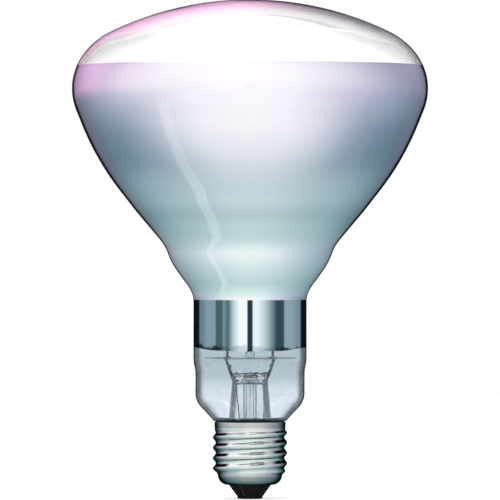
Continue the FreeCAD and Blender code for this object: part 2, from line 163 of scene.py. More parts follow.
class ShaderGraph(Graph):
    """A material's or the world's node tree."""

    def blend(self, share: Any, a: Any, b: Any, mode: str = "MIX") -> Any:
        """Mixes a share of the colour b into a. Each is three numbers or a socket."""
        inputs = {0: share, 6: opaque(a), 7: opaque(b)}
        return self.node("ShaderNodeMix", inputs, data_type="RGBA", blend_type=mode).outputs[2]

    def ramp(self, value: Any, stops: Sequence[tuple[float, Colour]]) -> Any:
        """A colour that follows a number from 0 to 1.

        Args:
            value: the socket with the number.
            stops: places and their colours, in order.

        Returns:
            The socket with the colour.
        """
        made = self.node("ShaderNodeValToRGB", {0: value})
        elements = made.color_ramp.elements
        elements[0].position, elements[0].color = stops[0][0], opaque(stops[0][1])
        elements[1].position, elements[1].color = stops[-1][0], opaque(stops[-1][1])
        for place, colour in stops[1:-1]:
            elements.new(place).color = opaque(colour)
        return made.outputs["Color"]

    def place(self, scale: Sequence[float] = (1.0, 1.0, 1.0)) -> Any:
        """The object's own coordinates, stretched."""
        coordinates = self.node("ShaderNodeTexCoord").outputs["Object"]
        return self.output("ShaderNodeMapping", {"Vector": coordinates, "Scale": scale})

    def noise(self, scale: float, detail: float = 3.0, stretch: Sequence[float] = (1.0, 1.0, 1.0)) -> Any:
        """A cloudy number from 0 to 1 on the object's coordinates."""
        inputs = {"Vector": self.place(stretch), "Scale": scale, "Detail": detail}
        return self.output("ShaderNodeTexNoise", inputs)

    def bump(self, height: Any, distance: float, normal: Any = None) -> Any:
        """A bumped normal. distance is the relief's depth in metres."""
        under = {} if normal is None else {"Normal": normal}
        return self.output("ShaderNodeBump", {"Height": height, "Distance": distance, **under})

    def facing(self, normal: Any = None) -> Any:
        """How far the surface turns to its edge, from 0 where it faces the ray to 1."""
        bumped = {} if normal is None else {"Normal": normal}
        return self.node("ShaderNodeLayerWeight", {"Blend": 0.5, **bumped}).outputs["Facing"]


def opaque(colour: Any) -> Any:
    """Adds alpha to three numbers, and leaves a socket alone."""
    return colour if isinstance(colour, bpy.types.NodeSocket) else (*colour, 1.0)


def placed(name: str, data: Any) -> Any:
    """A new object of the scene that holds a mesh, a lamp or a camera."""
    made = bpy.data.objects.new(name, data)
    bpy.context.scene.collection.objects.link(made)
    return made


class SizeKind(Enum):
    """The kinds of input that a geometry tree takes."""

    NUMBER = "NodeSocketFloat"
    WHOLE = "NodeSocketInt"
    MATERIAL = "NodeSocketMaterial"
    GEOMETRY = "NodeSocketGeometry"


class GeometryTree(Graph):
    """A geometry node tree whose sizes are named inputs."""

    NAME = "shape"

    def __init__(self) -> None:
        """Starts the tree."""
        super().__init__(bpy.data.node_groups.new(self.NAME, "GeometryNodeTree"))
        self.entry = self.node("NodeGroupInput")
        self.given = self.input("Geometry", SizeKind.GEOMETRY)
        self.material = self.input("Material", SizeKind.MATERIAL)

    def input(self, name: str, kind: SizeKind = SizeKind.NUMBER) -> Any:
        """Adds a named input and returns its socket."""
        self.tree.interface.new_socket(name, in_out="INPUT", socket_type=kind.value)
        return self.entry.outputs[name]

    def named(self, name: str) -> Any:
        """A number that the points of a geometry keep by name."""
        return self.output("GeometryNodeInputNamedAttribute", {"Name": name}, data_type="FLOAT")

    def end(self, geometry: Any, crease_degrees: float = 35.0) -> None:
        """Shades, realizes and paints a geometry, and makes it the tree's result.

        Args:
            geometry: the socket with the geometry.
            crease_degrees: an edge that turns more than this stays sharp.
        """
        turn = self.node("GeometryNodeInputMeshEdgeAngle").outputs["Unsigned Angle"]
        crease = self.math("GREATER_THAN", turn, math.radians(crease_degrees))
        smooth = self.output("GeometryNodeSetShadeSmooth", {"Geometry": geometry, "Shade Smooth": True})
        sharp = {"Geometry": smooth, "Selection": crease, "Shade Smooth": False}
        creased = self.output("GeometryNodeSetShadeSmooth", sharp, domain="EDGE")
        real = self.output("GeometryNodeRealizeInstances", {"Geometry": creased})
        painted = self.output("GeometryNodeSetMaterial", {"Geometry": real, "Material": self.material})
        painted = self.repaint(painted)
        self.tree.interface.new_socket("Geometry", in_out="OUTPUT", socket_type=SizeKind.GEOMETRY.value)
        self.node("NodeGroupOutput", {0: painted})

    def repaint(self, geometry: Any) -> Any:
        """Gives a part of the geometry another material. A plain tree has one material."""
        return geometry

    def run(self, mesh: Any, **sizes: Any) -> Any:
        """Runs the tree on a mesh.

        Args:
            mesh: the path or profile that the tree works on.
            sizes: the tree's inputs, with _ for each space in their names.

        Returns:
            A plain mesh.
        """
        carrier = placed("carrier", mesh)
        modifier = carrier.modifiers.new("shape", "NODES")
        modifier.node_group = self.tree
        for item in self.tree.interface.items_tree:
            key = item.name.lower().replace(" ", "_")
            if item.in_out == "INPUT" and key in sizes:
                modifier[item.identifier] = sizes[key]
        depsgraph = bpy.context.evaluated_depsgraph_get()
        made = bpy.data.meshes.new_from_object(carrier.evaluated_get(depsgraph), depsgraph=depsgraph)
        bpy.data.objects.remove(carrier)
        if made.materials[0] is None:
            made.materials.pop(index=0)
        return made


class LatheTree(GeometryTree):
    """Turns a profile about the lamp's axis. It runs down the outside and back up the inside."""

    NAME = "lathe"
    MERGE = 1e-7

    def __init__(self) -> None:
        """Builds the tree."""
        super().__init__()
        segments = self.input("Segments", SizeKind.WHOLE)
        size = self.node("GeometryNodeAttributeDomainSize", {"Geometry": self.given})
        count = size.outputs["Point Count"]
        columns = self.math("ADD", segments, 1)
        grid = self.output("GeometryNodeMeshGrid", {"Vertices X": columns, "Vertices Y": count})
        index = self.output("GeometryNodeInputIndex")
        self.row = self.math("MODULO", index, count)
        column = self.math("FLOOR", self.math("DIVIDE", index, count))
        self.angle = self.product(self.math("DIVIDE", column, segments), math.tau)
        here = self.output("GeometryNodeInputPosition")
        radius, _, self.profile_height = self.parts(self.sampled(here, "FLOAT_VECTOR"))
        radius, height = self.shape(radius, self.profile_height)
        place = {"Geometry": self.marked(grid), "Position": self.polar(radius, self.angle, height)}
        turned = self.output("GeometryNodeSetPosition", place)
        outward = self.output("GeometryNodeFlipFaces", {"Mesh": turned})
        merged = {"Geometry": outward, "Distance": self.MERGE}
        self.end(self.output("GeometryNodeMergeByDistance", merged))

    def sampled(self, value: Any, kind: str = "FLOAT") -> Any:
        """A value of the profile's point that the grid's point belongs to."""
        inputs = {"Geometry": self.given, "Value": value, "Index": self.row}
        return self.output("GeometryNodeSampleIndex", inputs, data_type=kind)

    def mark(self, name: str) -> Any:
        """A named mark of the profile's point, as a number."""
        return self.sampled(self.named(name))

    def shape(self, radius: Any, height: Any) -> tuple[Any, Any]:
        """The place of a point on the turned piece. A plain piece follows its profile."""
        return radius, height

    def marked(self, grid: Any) -> Any:
        """The grid with the marks that a repaint needs. A plain piece needs none."""
        return grid


class SilveredBulbTree(LatheTree):
    """The blown bulb: clear glass, with the zone that the mirror backs in a second material."""

    NAME = "silvered bulb"
    SIDE_POWER = 3.0
    RIPPLES = 9.0
    RIPPLE_START = 0.7
    RIPPLE_SHARE = 0.07

    def shape(self, radius: Any, height: Any) -> tuple[Any, Any]:
        """Lifts the mirror's lower edge at both sides of the neck, with a slight ripple."""
        self.mirror_foot = self.input("Mirror Foot")
        self.mirror_top = self.input("Mirror Top")
        self.second = self.input("Silvered Material", SizeKind.MATERIAL)
        reach = self.input("Edge Reach")
        rise = self.input("Edge Rise")
        away = self.math("ABSOLUTE", self.math("SUBTRACT", height, self.mirror_foot))
        near = self.math("MAXIMUM", self.math("SUBTRACT", 1.0, self.math("DIVIDE", away, reach)), 0.0)
        side = self.math("POWER", self.math("ABSOLUTE", self.math("COSINE", self.angle)), self.SIDE_POWER)
        phase = self.math("MULTIPLY_ADD", self.angle, self.RIPPLES, self.RIPPLE_START)
        lift = self.math("MULTIPLY_ADD", self.math("SINE", phase), self.RIPPLE_SHARE, side)
        return radius, self.math("ADD", height, self.product(lift, rise, near))

    def marked(self, grid: Any) -> Any:
        """Keeps each point's height on the profile, and whether it is on the outside."""
        for name, value in (("profile_height", self.profile_height), ("outside", self.mark("outside"))):
            inputs = {"Geometry": grid, "Name": name, "Value": value}
            grid = self.output("GeometryNodeStoreNamedAttribute", inputs, data_type="FLOAT", domain="POINT")
        return grid

    def repaint(self, geometry: Any) -> Any:
        """Gives the outside between the mirror's two edges the silvered material."""
        height = self.named("profile_height")
        above = self.math("GREATER_THAN", height, self.mirror_foot)
        below = self.math("LESS_THAN", height, self.mirror_top)
        out = self.math("GREATER_THAN", self.named("outside"), 0.99)
        chosen = self.product(above, below, out)
        inputs = {"Geometry": geometry, "Selection": chosen, "Material": self.second}
        return self.output("GeometryNodeSetMaterial", inputs)


class RolledThreadTree(LatheTree):
    """A turned shell of thin sheet with a right-hand thread rolled into it."""

    NAME = "rolled thread"

    def shape(self, radius: Any, height: Any) -> tuple[Any, Any]:
        """Moves a point out on the thread's crest and in at its root."""
        pitch = self.input("Pitch")
        depth = self.input("Depth")
        crest_height = self.input("Crest Height")
        share = self.mark("thread_share")
        root = self.mark("thread_root")
        turns = self.math("DIVIDE", self.math("SUBTRACT", height, crest_height), pitch)
        phase = self.math("SUBTRACT", self.product(turns, math.tau), self.angle)
        wave = self.math("MULTIPLY_ADD", self.math("COSINE", phase), 0.5, 0.5)
        threaded = self.math("MULTIPLY_ADD", wave, depth, root)
        out = self.product(self.math("SUBTRACT", threaded, radius), share)
        return self.math("ADD", radius, out), height


class WireTree(GeometryTree):
    """Bends a round wire along a path, copies it round the axis, and can bead its start."""

    NAME = "bent wire"
    SIDES = 14
    BEND_STEPS = 8
    BEAD_SEGMENTS = 20
    BEAD_RINGS = 12

    def __init__(self) -> None:
        """Builds the tree."""
        super().__init__()
        radius = self.input("Wire Radius")
        bend = self.input("Bend Radius")
        bead = self.input("Bead Radius")
        copies = self.input("Copies", SizeKind.WHOLE)
        spacing = self.input("Spacing")
        curve = self.output("GeometryNodeMeshToCurve", {"Mesh": self.given})
        corner = {"Curve": curve, "Count": self.BEND_STEPS, "Radius": bend, "Limit Radius": True}
        bent = self.output("GeometryNodeFilletCurve", corner, mode="POLY")
        circle = {"Resolution": self.SIDES, "Radius": radius}
        section = self.output("GeometryNodeCurvePrimitiveCircle", circle)
        sweep = {"Curve": bent, "Profile Curve": section, "Fill Caps": True}
        wire = self.output("GeometryNodeCurveToMesh", sweep)
        first = {"Geometry": self.given, "Value": self.output("GeometryNodeInputPosition"), "Index": 0}
        start = self.output("GeometryNodeSampleIndex", first, data_type="FLOAT_VECTOR")
        sphere = {"Segments": self.BEAD_SEGMENTS, "Rings": self.BEAD_RINGS, "Radius": bead}
        ball = self.output("GeometryNodeMeshUVSphere", sphere)
        ball = self.output("GeometryNodeTransform", {"Geometry": ball, "Translation": start})
        both = self.node("GeometryNodeJoinGeometry")
        self.fill(both, {0: wire})
        self.fill(both, {0: ball})
        points = self.output("GeometryNodeMeshLine", {"Count": copies, "Offset": (0.0, 0.0, 0.0)})
        turn = self.product(self.output("GeometryNodeInputIndex"), spacing)
        spread = {"Points": points, "Instance": both.outputs[0], "Rotation": self.vector(0.0, 0.0, turn)}
        self.end(self.output("GeometryNodeInstanceOnPoints", spread))


class CoilTree(GeometryTree):
    """A wire coiled along a ring."""

    NAME = "ring coil"
    SIDES = 7
    POINTS_PER_TURN = 16

    def __init__(self) -> None:
        """Builds the tree."""
        super().__init__()
        wire = self.input("Wire Radius")
        coil = self.input("Coil Radius")
        ring = self.input("Ring Radius")
        height = self.input("Height")
        start = self.input("Start Angle")
        span = self.input("Span")
        turns = self.input("Turns")
        count = self.product(turns, float(self.POINTS_PER_TURN))
        line = self.output("GeometryNodeMeshLine", {"Count": self.math("ADD", count, 1.0)})
        along = self.math("DIVIDE", self.output("GeometryNodeInputIndex"), count)
        angle = self.math("MULTIPLY_ADD", along, span, start)
        phase = self.product(along, turns, math.tau)
        radius = self.math("MULTIPLY_ADD", self.math("COSINE", phase), coil, ring)
        rise = self.math("MULTIPLY_ADD", self.math("SINE", phase), coil, height)
        placed_line = {"Geometry": line, "Position": self.polar(radius, angle, rise)}
        coiled = self.output("GeometryNodeSetPosition", placed_line)
        curve = self.output("GeometryNodeMeshToCurve", {"Mesh": coiled})
        section = self.output("GeometryNodeCurvePrimitiveCircle", {"Resolution": self.SIDES, "Radius": wire})
        sweep = {"Curve": curve, "Profile Curve": section, "Fill Caps": True}
        self.end(self.output("GeometryNodeCurveToMesh", sweep), crease_degrees=70.0)


# Outlines


@dataclass(frozen=True)
class Point:
    """A point of a lathe profile.

    Attributes:
        radius: its distance from the axis.
        height: its height.
        heading: the way the outline runs there in degrees: 0 is outwards, 90 is down.
    """

    radius: float
    height: float
    heading: float = 90.0

    def inside(self, depth: float) -> "Point":
        """The point of the parallel outline that lies this deep under this one."""
        turn = math.radians(self.heading)
        radius = max(self.radius - depth * math.sin(turn), 0.0)
        return replace(self, radius=radius, height=self.height - depth * math.cos(turn))

    def between(self, other: "Point", share: float) -> "Point":
        """The point that lies this share of the way to another one."""
        return Point(*(a + (b - a) * share for a, b in zip(astuple(self), astuple(other))))


def shares(count: int) -> list[float]:
    """The even steps from 0 to 1, with both ends."""
    return [i / count for i in range(count + 1)]


def arc(start: Point, end: Point, step_degrees: float) -> list[Point]:
    """The points of one arc, without its last.

    Args:
        start: where it starts, with the way it leaves.
        end: where it ends, with the way it arrives.
        step_degrees: the largest turn from one point to the next.

    Returns:
        The points, each with its heading.
    """
    turn = end.heading - start.heading
    chord = math.hypot(end.radius - start.radius, end.height - start.height)
    steps = max(1, math.ceil(abs(turn) / step_degrees))
    if abs(turn) < 1e-6:
        return [start]
    bend = chord / (2 * math.sin(math.radians(turn) / 2))
    first = math.radians(start.heading)
    points = []
    for i in range(steps):
        heading = start.heading + turn * i / steps
        now = math.radians(heading)
        radius = start.radius + bend * (math.sin(now) - math.sin(first))
        height = start.height + bend * (math.cos(now) - math.cos(first))
        points.append(Point(radius, height, heading))
    return points


def biarc(start: Point, end: Point, step_degrees: float) -> list[Point]:
    """The points of the two smooth arcs between two stations, without the last."""
    leave, arrive = math.radians(start.heading), math.radians(end.heading)
    ahead = Vector((math.cos(leave), -math.sin(leave)))
    into = Vector((math.cos(arrive), -math.sin(arrive)))
    span = Vector((end.radius - start.radius, end.height - start.height))
    both = ahead + into
    spread = 2 * (1 - ahead.dot(into))
    if spread < 1e-9:
        leg = span.dot(span) / (2 * span.dot(both))
    else:
        along = span.dot(both)
        leg = (math.sqrt(along * along + spread * span.dot(span)) - along) / spread
    first_corner = Vector((start.radius, start.height)) + ahead * leg
    second_corner = Vector((end.radius, end.height)) - into * leg
    across = second_corner - first_corner
    middle = (first_corner + second_corner) / 2
    joint = Point(middle.x, middle.y, math.degrees(math.atan2(-across.y, across.x)))
    return arc(start, joint, step_degrees) + arc(joint, end, step_degrees)


def cut_at(outline: Sequence[Point], height: float) -> list[Point]:
    """The outline with one more point where it first comes down to a height."""
    points = [outline[0]]
    for a, b in zip(outline, outline[1:]):
        if a.height > height > b.height:
            share = (a.height - height) / (a.height - b.height)
            points.append(replace(a.between(b, share), height=height))
        points.append(b)
    return points


def long_steps(outline: Sequence[Point], longest: float) -> list[Point]:
    """The outline with its long straight steps divided evenly."""
    points = [outline[0]]
    for a, b in zip(outline, outline[1:]):
        count = math.ceil(math.hypot(b.radius - a.radius, b.height - a.height) / longest)
        points += [a.between(b, i / count) for i in range(1, count + 1)]
    return points


def rounded(corners: Sequence[Corner], steps: int = 4, lead: float = 1.25) -> list[Point]:
    """A profile of straight lines with rounded corners.

    Args:
        corners: radius, height and fillet of each corner, in order.
        steps: how many steps a fillet takes.
        lead: how far from its corner a fillet's straight lead starts, in reaches of the fillet.

    Returns:
        The profile's points. The leads keep the flats next to a fillet flat in the shading.
    """
    points: list[Point] = []
    last = len(corners) - 1
    for i, (radius, height, fillet) in enumerate(corners):
        here = Vector((radius, height))
        if fillet == 0 or i in (0, last):
            points.append(Point(radius, height))
            continue
        back = (Vector(corners[i - 1][:2]) - here).normalized()
        ahead = (Vector(corners[i + 1][:2]) - here).normalized()
        half = math.acos(max(-1.0, min(1.0, back.dot(ahead)))) / 2
        reach = fillet / math.tan(half)
        centre = here + (back + ahead).normalized() * (fillet / math.sin(half))
        spoke = here + back * reach - centre
        first = math.atan2(spoke.y, spoke.x)
        turn = math.copysign(math.pi - 2 * half, back.x * ahead.y - back.y * ahead.x)
        points.append(Point(*(here + back * reach * lead)))
        for share in shares(steps):
            now = first - turn * share
            points.append(Point(centre.x + fillet * math.cos(now), centre.y + fillet * math.sin(now)))
        points.append(Point(*(here + ahead * reach * lead)))
    return points


def chain(points: Iterable[Sequence[float]], marks: dict[str, Sequence[float]] | None = None) -> Any:
    """A mesh of edges through points, one after another.

    Args:
        points: the places.
        marks: numbers to keep at the points, by name.

    Returns:
        The mesh.
    """
    places = [tuple(p) for p in points]
    mesh = bpy.data.meshes.new("chain")
    mesh.from_pydata(places, [(i, i + 1) for i in range(len(places) - 1)], [])
    for name, values in (marks or {}).items():
        mesh.attributes.new(name, "FLOAT", "POINT").data.foreach_set("value", list(values))
    return mesh


def profile_mesh(points: Sequence[Point], marks: dict[str, Sequence[float]] | None = None) -> Any:
    """A lathe profile as a mesh of edges in the XZ plane."""
    return chain([(p.radius, 0.0, p.height) for p in points], marks)


def skin(rows: Sequence[Sequence[Vector]]) -> Any:
    """A closed mesh through rings of points, from the bottom up, with both ends capped."""
    count = len(rows[0])
    places = [tuple(p) for row in rows for p in row]
    faces: list[tuple[int, ...]] = []
    for i in range(len(rows) - 1):
        for j in range(count):
            k = (j + 1) % count
            faces.append((i * count + j, i * count + k, (i + 1) * count + k, (i + 1) * count + j))
    for ring, flip in ((0, True), (len(rows) - 1, False)):
        middle = sum((Vector(p) for p in rows[ring]), Vector()) / count
        places.append(tuple(middle))
        hub = len(places) - 1
        for j in range(count):
            a, b = ring * count + j, ring * count + (j + 1) % count
            faces.append((b, a, hub) if flip else (a, b, hub))
    mesh = bpy.data.meshes.new("skin")
    mesh.from_pydata(places, [], faces)
    mesh.shade_smooth()
    return mesh


def spoke(angle: float, radius: float, height: float) -> Vector:
    """The place at an angle round the axis, a radius and a height."""
    return Vector((radius * math.cos(angle), radius * math.sin(angle), height))


def joined(*meshes: Any) -> Any:
    """One mesh of several, each with its own materials."""
    objects = [placed("part", mesh) for mesh in meshes]
    with bpy.context.temp_override(active_object=objects[0], selected_editable_objects=objects):
        bpy.ops.object.join()
    mesh = objects[0].data
    bpy.data.objects.remove(objects[0])
    return mesh


def add_piece(name: str, mesh: Any, slot: Slot, *nodes: str) -> None:
    """Puts a finished piece into the scene in place of CAD nodes.

    Args:
        name: the piece's name.
        mesh: its mesh, in the lamp's frame.
        slot: the record's slot for its finish. Not used.
        nodes: the nodes that it stands for.
    """
    mesh.name = name
    piece = placed(name, mesh)
    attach(piece, BODY)
    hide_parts(*nodes)
    mesh.calc_loop_triangles()
    LOG.info("%s: %d triangles for %s", name, len(mesh.loop_triangles), ", ".join(nodes))


# Finishes


@dataclass(frozen=True)
class Finish:
    """A plain finish: one colour that varies a little, with a fine relief.

    Attributes:
        name: the material's name.
        colour: its mean colour.
        metallic: 1 for metal.
        roughness: its mean roughness.
        mottle: how far the colour wanders, as a share.
        mottle_scale: patches per metre.
        grain: the relief's depth.
        grain_scale: the relief's bumps per metre.
        coat: the weight of a glossy coat.
        specular: the strength of the plain reflection.
        patch: the range of the cloud in which the roughness changes.
        swing: how far the roughness wanders, as a share.
        grain_detail: how many finer layers the relief has.
    """

    name: str
    colour: Colour
    metallic: float = 0.0
    roughness: float = 0.5
    mottle: float = 0.2
    mottle_scale: float = 250.0
    grain: float = 0.02 * MM
    grain_scale: float = 1500.0
    coat: float = 0.0
    specular: float = 0.5
    patch: Span = (0.3, 0.7)
    swing: float = 0.15
    grain_detail: float = 5.0

    def material(self) -> Any:
        """Builds the material."""
        made = bpy.data.materials.new(f"{self.name}_finish")
        made.use_nodes = True
        graph = ShaderGraph(made.node_tree)
        self.paint(graph, graph.tree.nodes["Principled BSDF"])
        return made

    def toned(self, change: float) -> Colour:
        """The mean colour made lighter by a share, or darker by a negative one."""
        return tuple(min(c * (1 + change), 1.0) for c in self.colour)

    def paint(self, graph: ShaderGraph, shader: Any) -> None:
        """Sets the shader's inputs."""
        cloud = graph.noise(self.mottle_scale)
        dull = min(self.roughness * (1 + self.swing), 1.0)
        relief = graph.noise(self.grain_scale, self.grain_detail)
        inputs = {
            "Base Color": graph.blend(cloud, self.toned(-self.mottle), self.toned(self.mottle)),
            "Metallic": self.metallic,
            "Roughness": graph.span(cloud, *self.patch, self.roughness * (1 - self.swing), dull),
            "Normal": graph.bump(relief, self.grain),
            "Specular IOR Level": self.specular,
            "Coat Weight": self.coat,
            "Coat Roughness": 0.0,
        }
        graph.fill(shader, inputs)


@dataclass(frozen=True)
class ClearGlass(Finish):
    """Clear drawn or blown glass, painted dark where one looks along its wall, as a painted shade outline.

    Attributes:
        limb: the facing shares where the painted dark outline starts and where it is darkest.
        limb_colour: the painted outline's shade.
        neck_colour: the painted shade of the glass at the top of the neck.
        shoulder_colour: the painted shade of the glass at the neck's foot.
        shoulder_fade: the heights between which they blend.
        neck_height: the height of the neck's top.
        neck_fade: over which the neck's colour ends.
        neck_limb: the painted outline's two facing shares in the neck.
        seam_height: below this height the glass is painted dark, as shade where it meets the cap.
        seam_fade: over which it gets dark.
        seam_colour: its painted shade there.
        waviness: the depth of the long waves in the wall.
        wave_detail: how many finer layers they have.
        calm_height: below this height the waves are shallower.
        calm_fade: where that starts and ends, from that height.
        calm_share: their share of the depth there.
        tint: the facing shares between which the glass takes a painted reflection of what stands beside it.
        middle: the places on X between which the two tints blend.
        left_tint: the painted reflection's tint on the left.
        right_tint: the painted reflection's tint on the right.
        refraction: the glass's index of refraction.
    """

    limb: Span = (0.88, 0.96)
    limb_colour: Colour = (0.01, 0.014, 0.018)
    neck_colour: Colour = (0.60, 0.67, 0.71)
    shoulder_colour: Colour = (0.77, 0.81, 0.86)
    shoulder_fade: Span = (36.0 * MM, 45.0 * MM)
    neck_height: float = -1.0
    neck_fade: float = 1.0 * MM
    neck_limb: Span = (0.48, 0.76)
    seam_height: float = -1.0
    seam_fade: float = 0.3 * MM
    seam_colour: Colour = (0.004, 0.005, 0.006)
    waviness: float = 0.05 * MM
    wave_detail: float = 1.5
    calm_height: float = -1.0
    calm_fade: Span = (-0.5 * MM, 1.5 * MM)
    calm_share: float = 0.1
    tint: Span = (0.70, 0.90)
    middle: Span = (4.0 * MM, 28.0 * MM)
    left_tint: Colour = (1.0, 1.0, 1.0)
    right_tint: Colour = (1.0, 1.0, 1.0)
    refraction: float = 1.5

    def paint(self, graph: ShaderGraph, shader: Any) -> None:
        """Sets the shader's inputs."""
        x, _, height = graph.parts(graph.place())
        waves = graph.noise(self.grain_scale, self.wave_detail)
        start, end = (self.calm_height + fade for fade in self.calm_fade)
        calm = graph.span(height, start, end, self.calm_share, 1.0)
        normal = graph.bump(graph.product(waves, calm), self.waviness)
        facing = graph.facing(normal)
        in_neck = graph.span(height, self.neck_height, self.neck_height + self.neck_fade, 1.0, 0.0)
        # Painted shade: a dark outline where one looks along the wall, wider in the neck.
        limb = graph.span(facing, *self.limb)
        neck_limb = graph.span(facing, *self.neck_limb)
        limb = graph.math("MULTIPLY_ADD", graph.math("SUBTRACT", neck_limb, limb), in_neck, limb)
        # Painted shade: the clear glass is darker and grey-blue in the neck.
        low = graph.span(height, *self.shoulder_fade)
        neck = graph.blend(low, self.shoulder_colour, self.neck_colour)
        # Painted reflections: pink on the left and dark on the right, towards the edge.
        beside = graph.blend(graph.span(x, *self.middle), self.left_tint, self.right_tint)
        clear = graph.blend(graph.span(facing, *self.tint), self.colour, beside)
        tint = graph.blend(in_neck, clear, neck)
        tint = graph.blend(limb, tint, self.limb_colour)
        # Painted shade: the glass turns dark at its seam with the cap.
        seam = graph.span(height, self.seam_height - self.seam_fade, self.seam_height, 1.0, 0.0)
        inputs = {
            "Base Color": graph.blend(seam, tint, self.seam_colour),
            "Roughness": self.roughness,
            "IOR": self.refraction,
            "Specular IOR Level": self.specular,
            "Transmission Weight": 1.0,
            "Normal": normal,
        }
        graph.fill(shader, inputs)


@dataclass(frozen=True)
class SilveredGlass(Finish):
    """Clear glass over the mirror: satin on the reflector, bright in the neck, glossy all over, with painted
    highlights and shade.

    Attributes:
        satin_height: the heights where the bright neck ends and where the satin is full.
        satin: the reflector's roughness at the rim.
        low_satin: its roughness in the lower half.
        foot_satin: its roughness on the bulge.
        satin_rise: the heights between which the lower half's turns into the rim's.
        foot_rise: the heights between which the bulge's turns into the lower half's.
        cloud_scale: patches of the roughness per metre.
        cloud_swing: how far they change it, and its least share.
        neck_colour: the mirror's colour in the neck.
        foot_colour: its colour at the satin's foot.
        bulge_colour: its colour on the bulge, lighter as a painted highlight.
        ring_colour: its colour on the ring above the bulge, darker as painted shade.
        low_colour: its colour on the lower reflector.
        high_colour: its colour at the rim.
        rim_height: the height of the rim.
        edge_height: the height of the mirror's lower edge.
        edge_colour: the colour of the thin film along that edge at the sides, painted dark there as shade,
            and of the painted dark outline.
        smoke_colour: the thin film's colour at the front and the back, where it is palest.
        smoke_scale: wisps of the thin film per metre.
        smoke_reach: how far they reach up from the edge.
        smoke_drop: how far below the edge they start.
        smoke_fade: where a wisp starts to fade and where it is gone, from its top.
        smoke_side: the places on X between which the pale film blends into the dark one, as painted shade
            towards the sides.
        limb: the facing shares where the painted dark outline starts and where it is darkest.
        side_shade: the mirror's share of light on the sides of the band under the rim.
        side_foot: the heights between which that band starts.
        side_top: the heights between which it ends.
        side_near: the facing shares between which it starts.
        side_far: the facing shares between which it weakens.
        side_left: its strength after that.
        edge_tint: the tint of the reflection where one looks along it.
    """

    satin_height: Span = (69.8 * MM, 71.4 * MM)
    satin: float = 0.22
    low_satin: float = 0.34
    foot_satin: float = 0.50
    satin_rise: Span = (105.0 * MM, 120.0 * MM)
    foot_rise: Span = (90.0 * MM, 97.0 * MM)
    cloud_scale: float = 60.0
    cloud_swing: Span = (0.2, 0.9)
    neck_colour: Colour = (0.90, 0.92, 0.93)
    foot_colour: Colour = (0.78, 0.95, 0.90)
    bulge_colour: Colour = (0.90, 1.0, 0.965)
    ring_colour: Colour = (0.81, 0.885, 0.885)
    low_colour: Colour = (0.89, 0.97, 0.97)
    high_colour: Colour = (0.94, 0.92, 0.96)
    rim_height: float = 150.0 * MM
    edge_height: float = 52.0 * MM
    edge_colour: Colour = (0.02, 0.03, 0.04)
    smoke_colour: Colour = (0.55, 0.62, 0.66)
    smoke_scale: float = 210.0
    smoke_reach: float = 6.0 * MM
    smoke_drop: float = 2.1 * MM
    smoke_fade: Span = (-0.4 * MM, 1.2 * MM)
    smoke_side: Span = (8.0 * MM, 13.0 * MM)
    limb: Span = (0.81, 0.88)
    side_shade: Colour = (0.54, 0.62, 0.68)
    side_foot: Span = (108.0 * MM, 121.0 * MM)
    side_top: Span = (126.0 * MM, 142.0 * MM)
    side_near: Span = (0.10, 0.45)
    side_far: Span = (0.6, 0.8)
    side_left: float = 0.2
    edge_tint: Colour = (0.72, 0.76, 0.78)

    def paint(self, graph: ShaderGraph, shader: Any) -> None:
        """Sets the shader's inputs."""
        x, _, height = graph.parts(graph.place())
        facing = graph.facing()
        # Painted shade: a dark outline where one looks along the mirror, with less specular tint and coat
        # there.
        limb = graph.span(facing, *self.limb)
        satin_share = graph.span(height, *self.satin_height)
        # Painted highlights, shade and reflections: the mirror's colour changes by height.
        tint = graph.blend(satin_share, self.neck_colour, self.reflector(graph, height))
        tint = self.smoked(graph, tint, x, height)
        # Painted shade on the sides of the band under the rim.
        tint = graph.blend(self.side(graph, height, facing), tint, self.side_shade, "MULTIPLY")
        waves = graph.noise(self.grain_scale, 1.5)
        wavy = graph.bump(waves, self.grain)
        inputs = {
            "Base Color": graph.blend(limb, tint, self.edge_colour),
            "Metallic": 1.0,
            "Roughness": graph.product(satin_share, self.rough(graph, height)),
            "Normal": wavy,
            "Specular Tint": graph.blend(limb, self.edge_tint, self.edge_colour),
            "Coat Weight": graph.math("SUBTRACT", 1.0, limb),
            "Coat Roughness": 0.0,
            "Coat Normal": wavy,
        }
        graph.fill(shader, inputs)

    def reflector(self, graph: ShaderGraph, height: Any) -> Any:
        """The reflector's colour, from the satin's foot up to the rim, lighter, darker and tinted by height
        as painted highlights, shade and reflections.
        """
        stops = [
            (0.0, self.foot_colour),
            (0.03, self.bulge_colour),
            (0.235, self.bulge_colour),
            (0.285, self.ring_colour),
            (0.32, self.ring_colour),
            (0.38, self.low_colour),
            (0.6, self.colour),
            (0.85, self.high_colour),
        ]
        return graph.ramp(graph.span(height, self.satin_height[1], self.rim_height), stops)

    def smoked(self, graph: ShaderGraph, tint: Any, x: Any, height: Any) -> Any:
        """The mirror's colour with the thin, smoky film along its lower edge, painted darker towards the
        sides as shade.
        """
        wisps = graph.noise(self.smoke_scale, 2.0)
        top = graph.math("MULTIPLY_ADD", wisps, self.smoke_reach, self.edge_height - self.smoke_drop)
        thin = graph.span(graph.math("SUBTRACT", height, top), *self.smoke_fade, 1.0, 0.0)
        beside = graph.span(graph.math("ABSOLUTE", x), *self.smoke_side)
        return graph.blend(thin, tint, graph.blend(beside, self.smoke_colour, self.edge_colour))

    def side(self, graph: ShaderGraph, height: Any, facing: Any) -> Any:
        """Where the band under the rim turns to the sides, from 0 to 1: the mask of its painted shade."""
        above = graph.span(height, *self.side_foot)
        below = graph.span(height, *self.side_top, 1.0, 0.0)
        near = graph.span(facing, *self.side_near)
        far = graph.span(facing, *self.side_far, 1.0, self.side_left)
        return graph.product(above, below, graph.product(near, far))

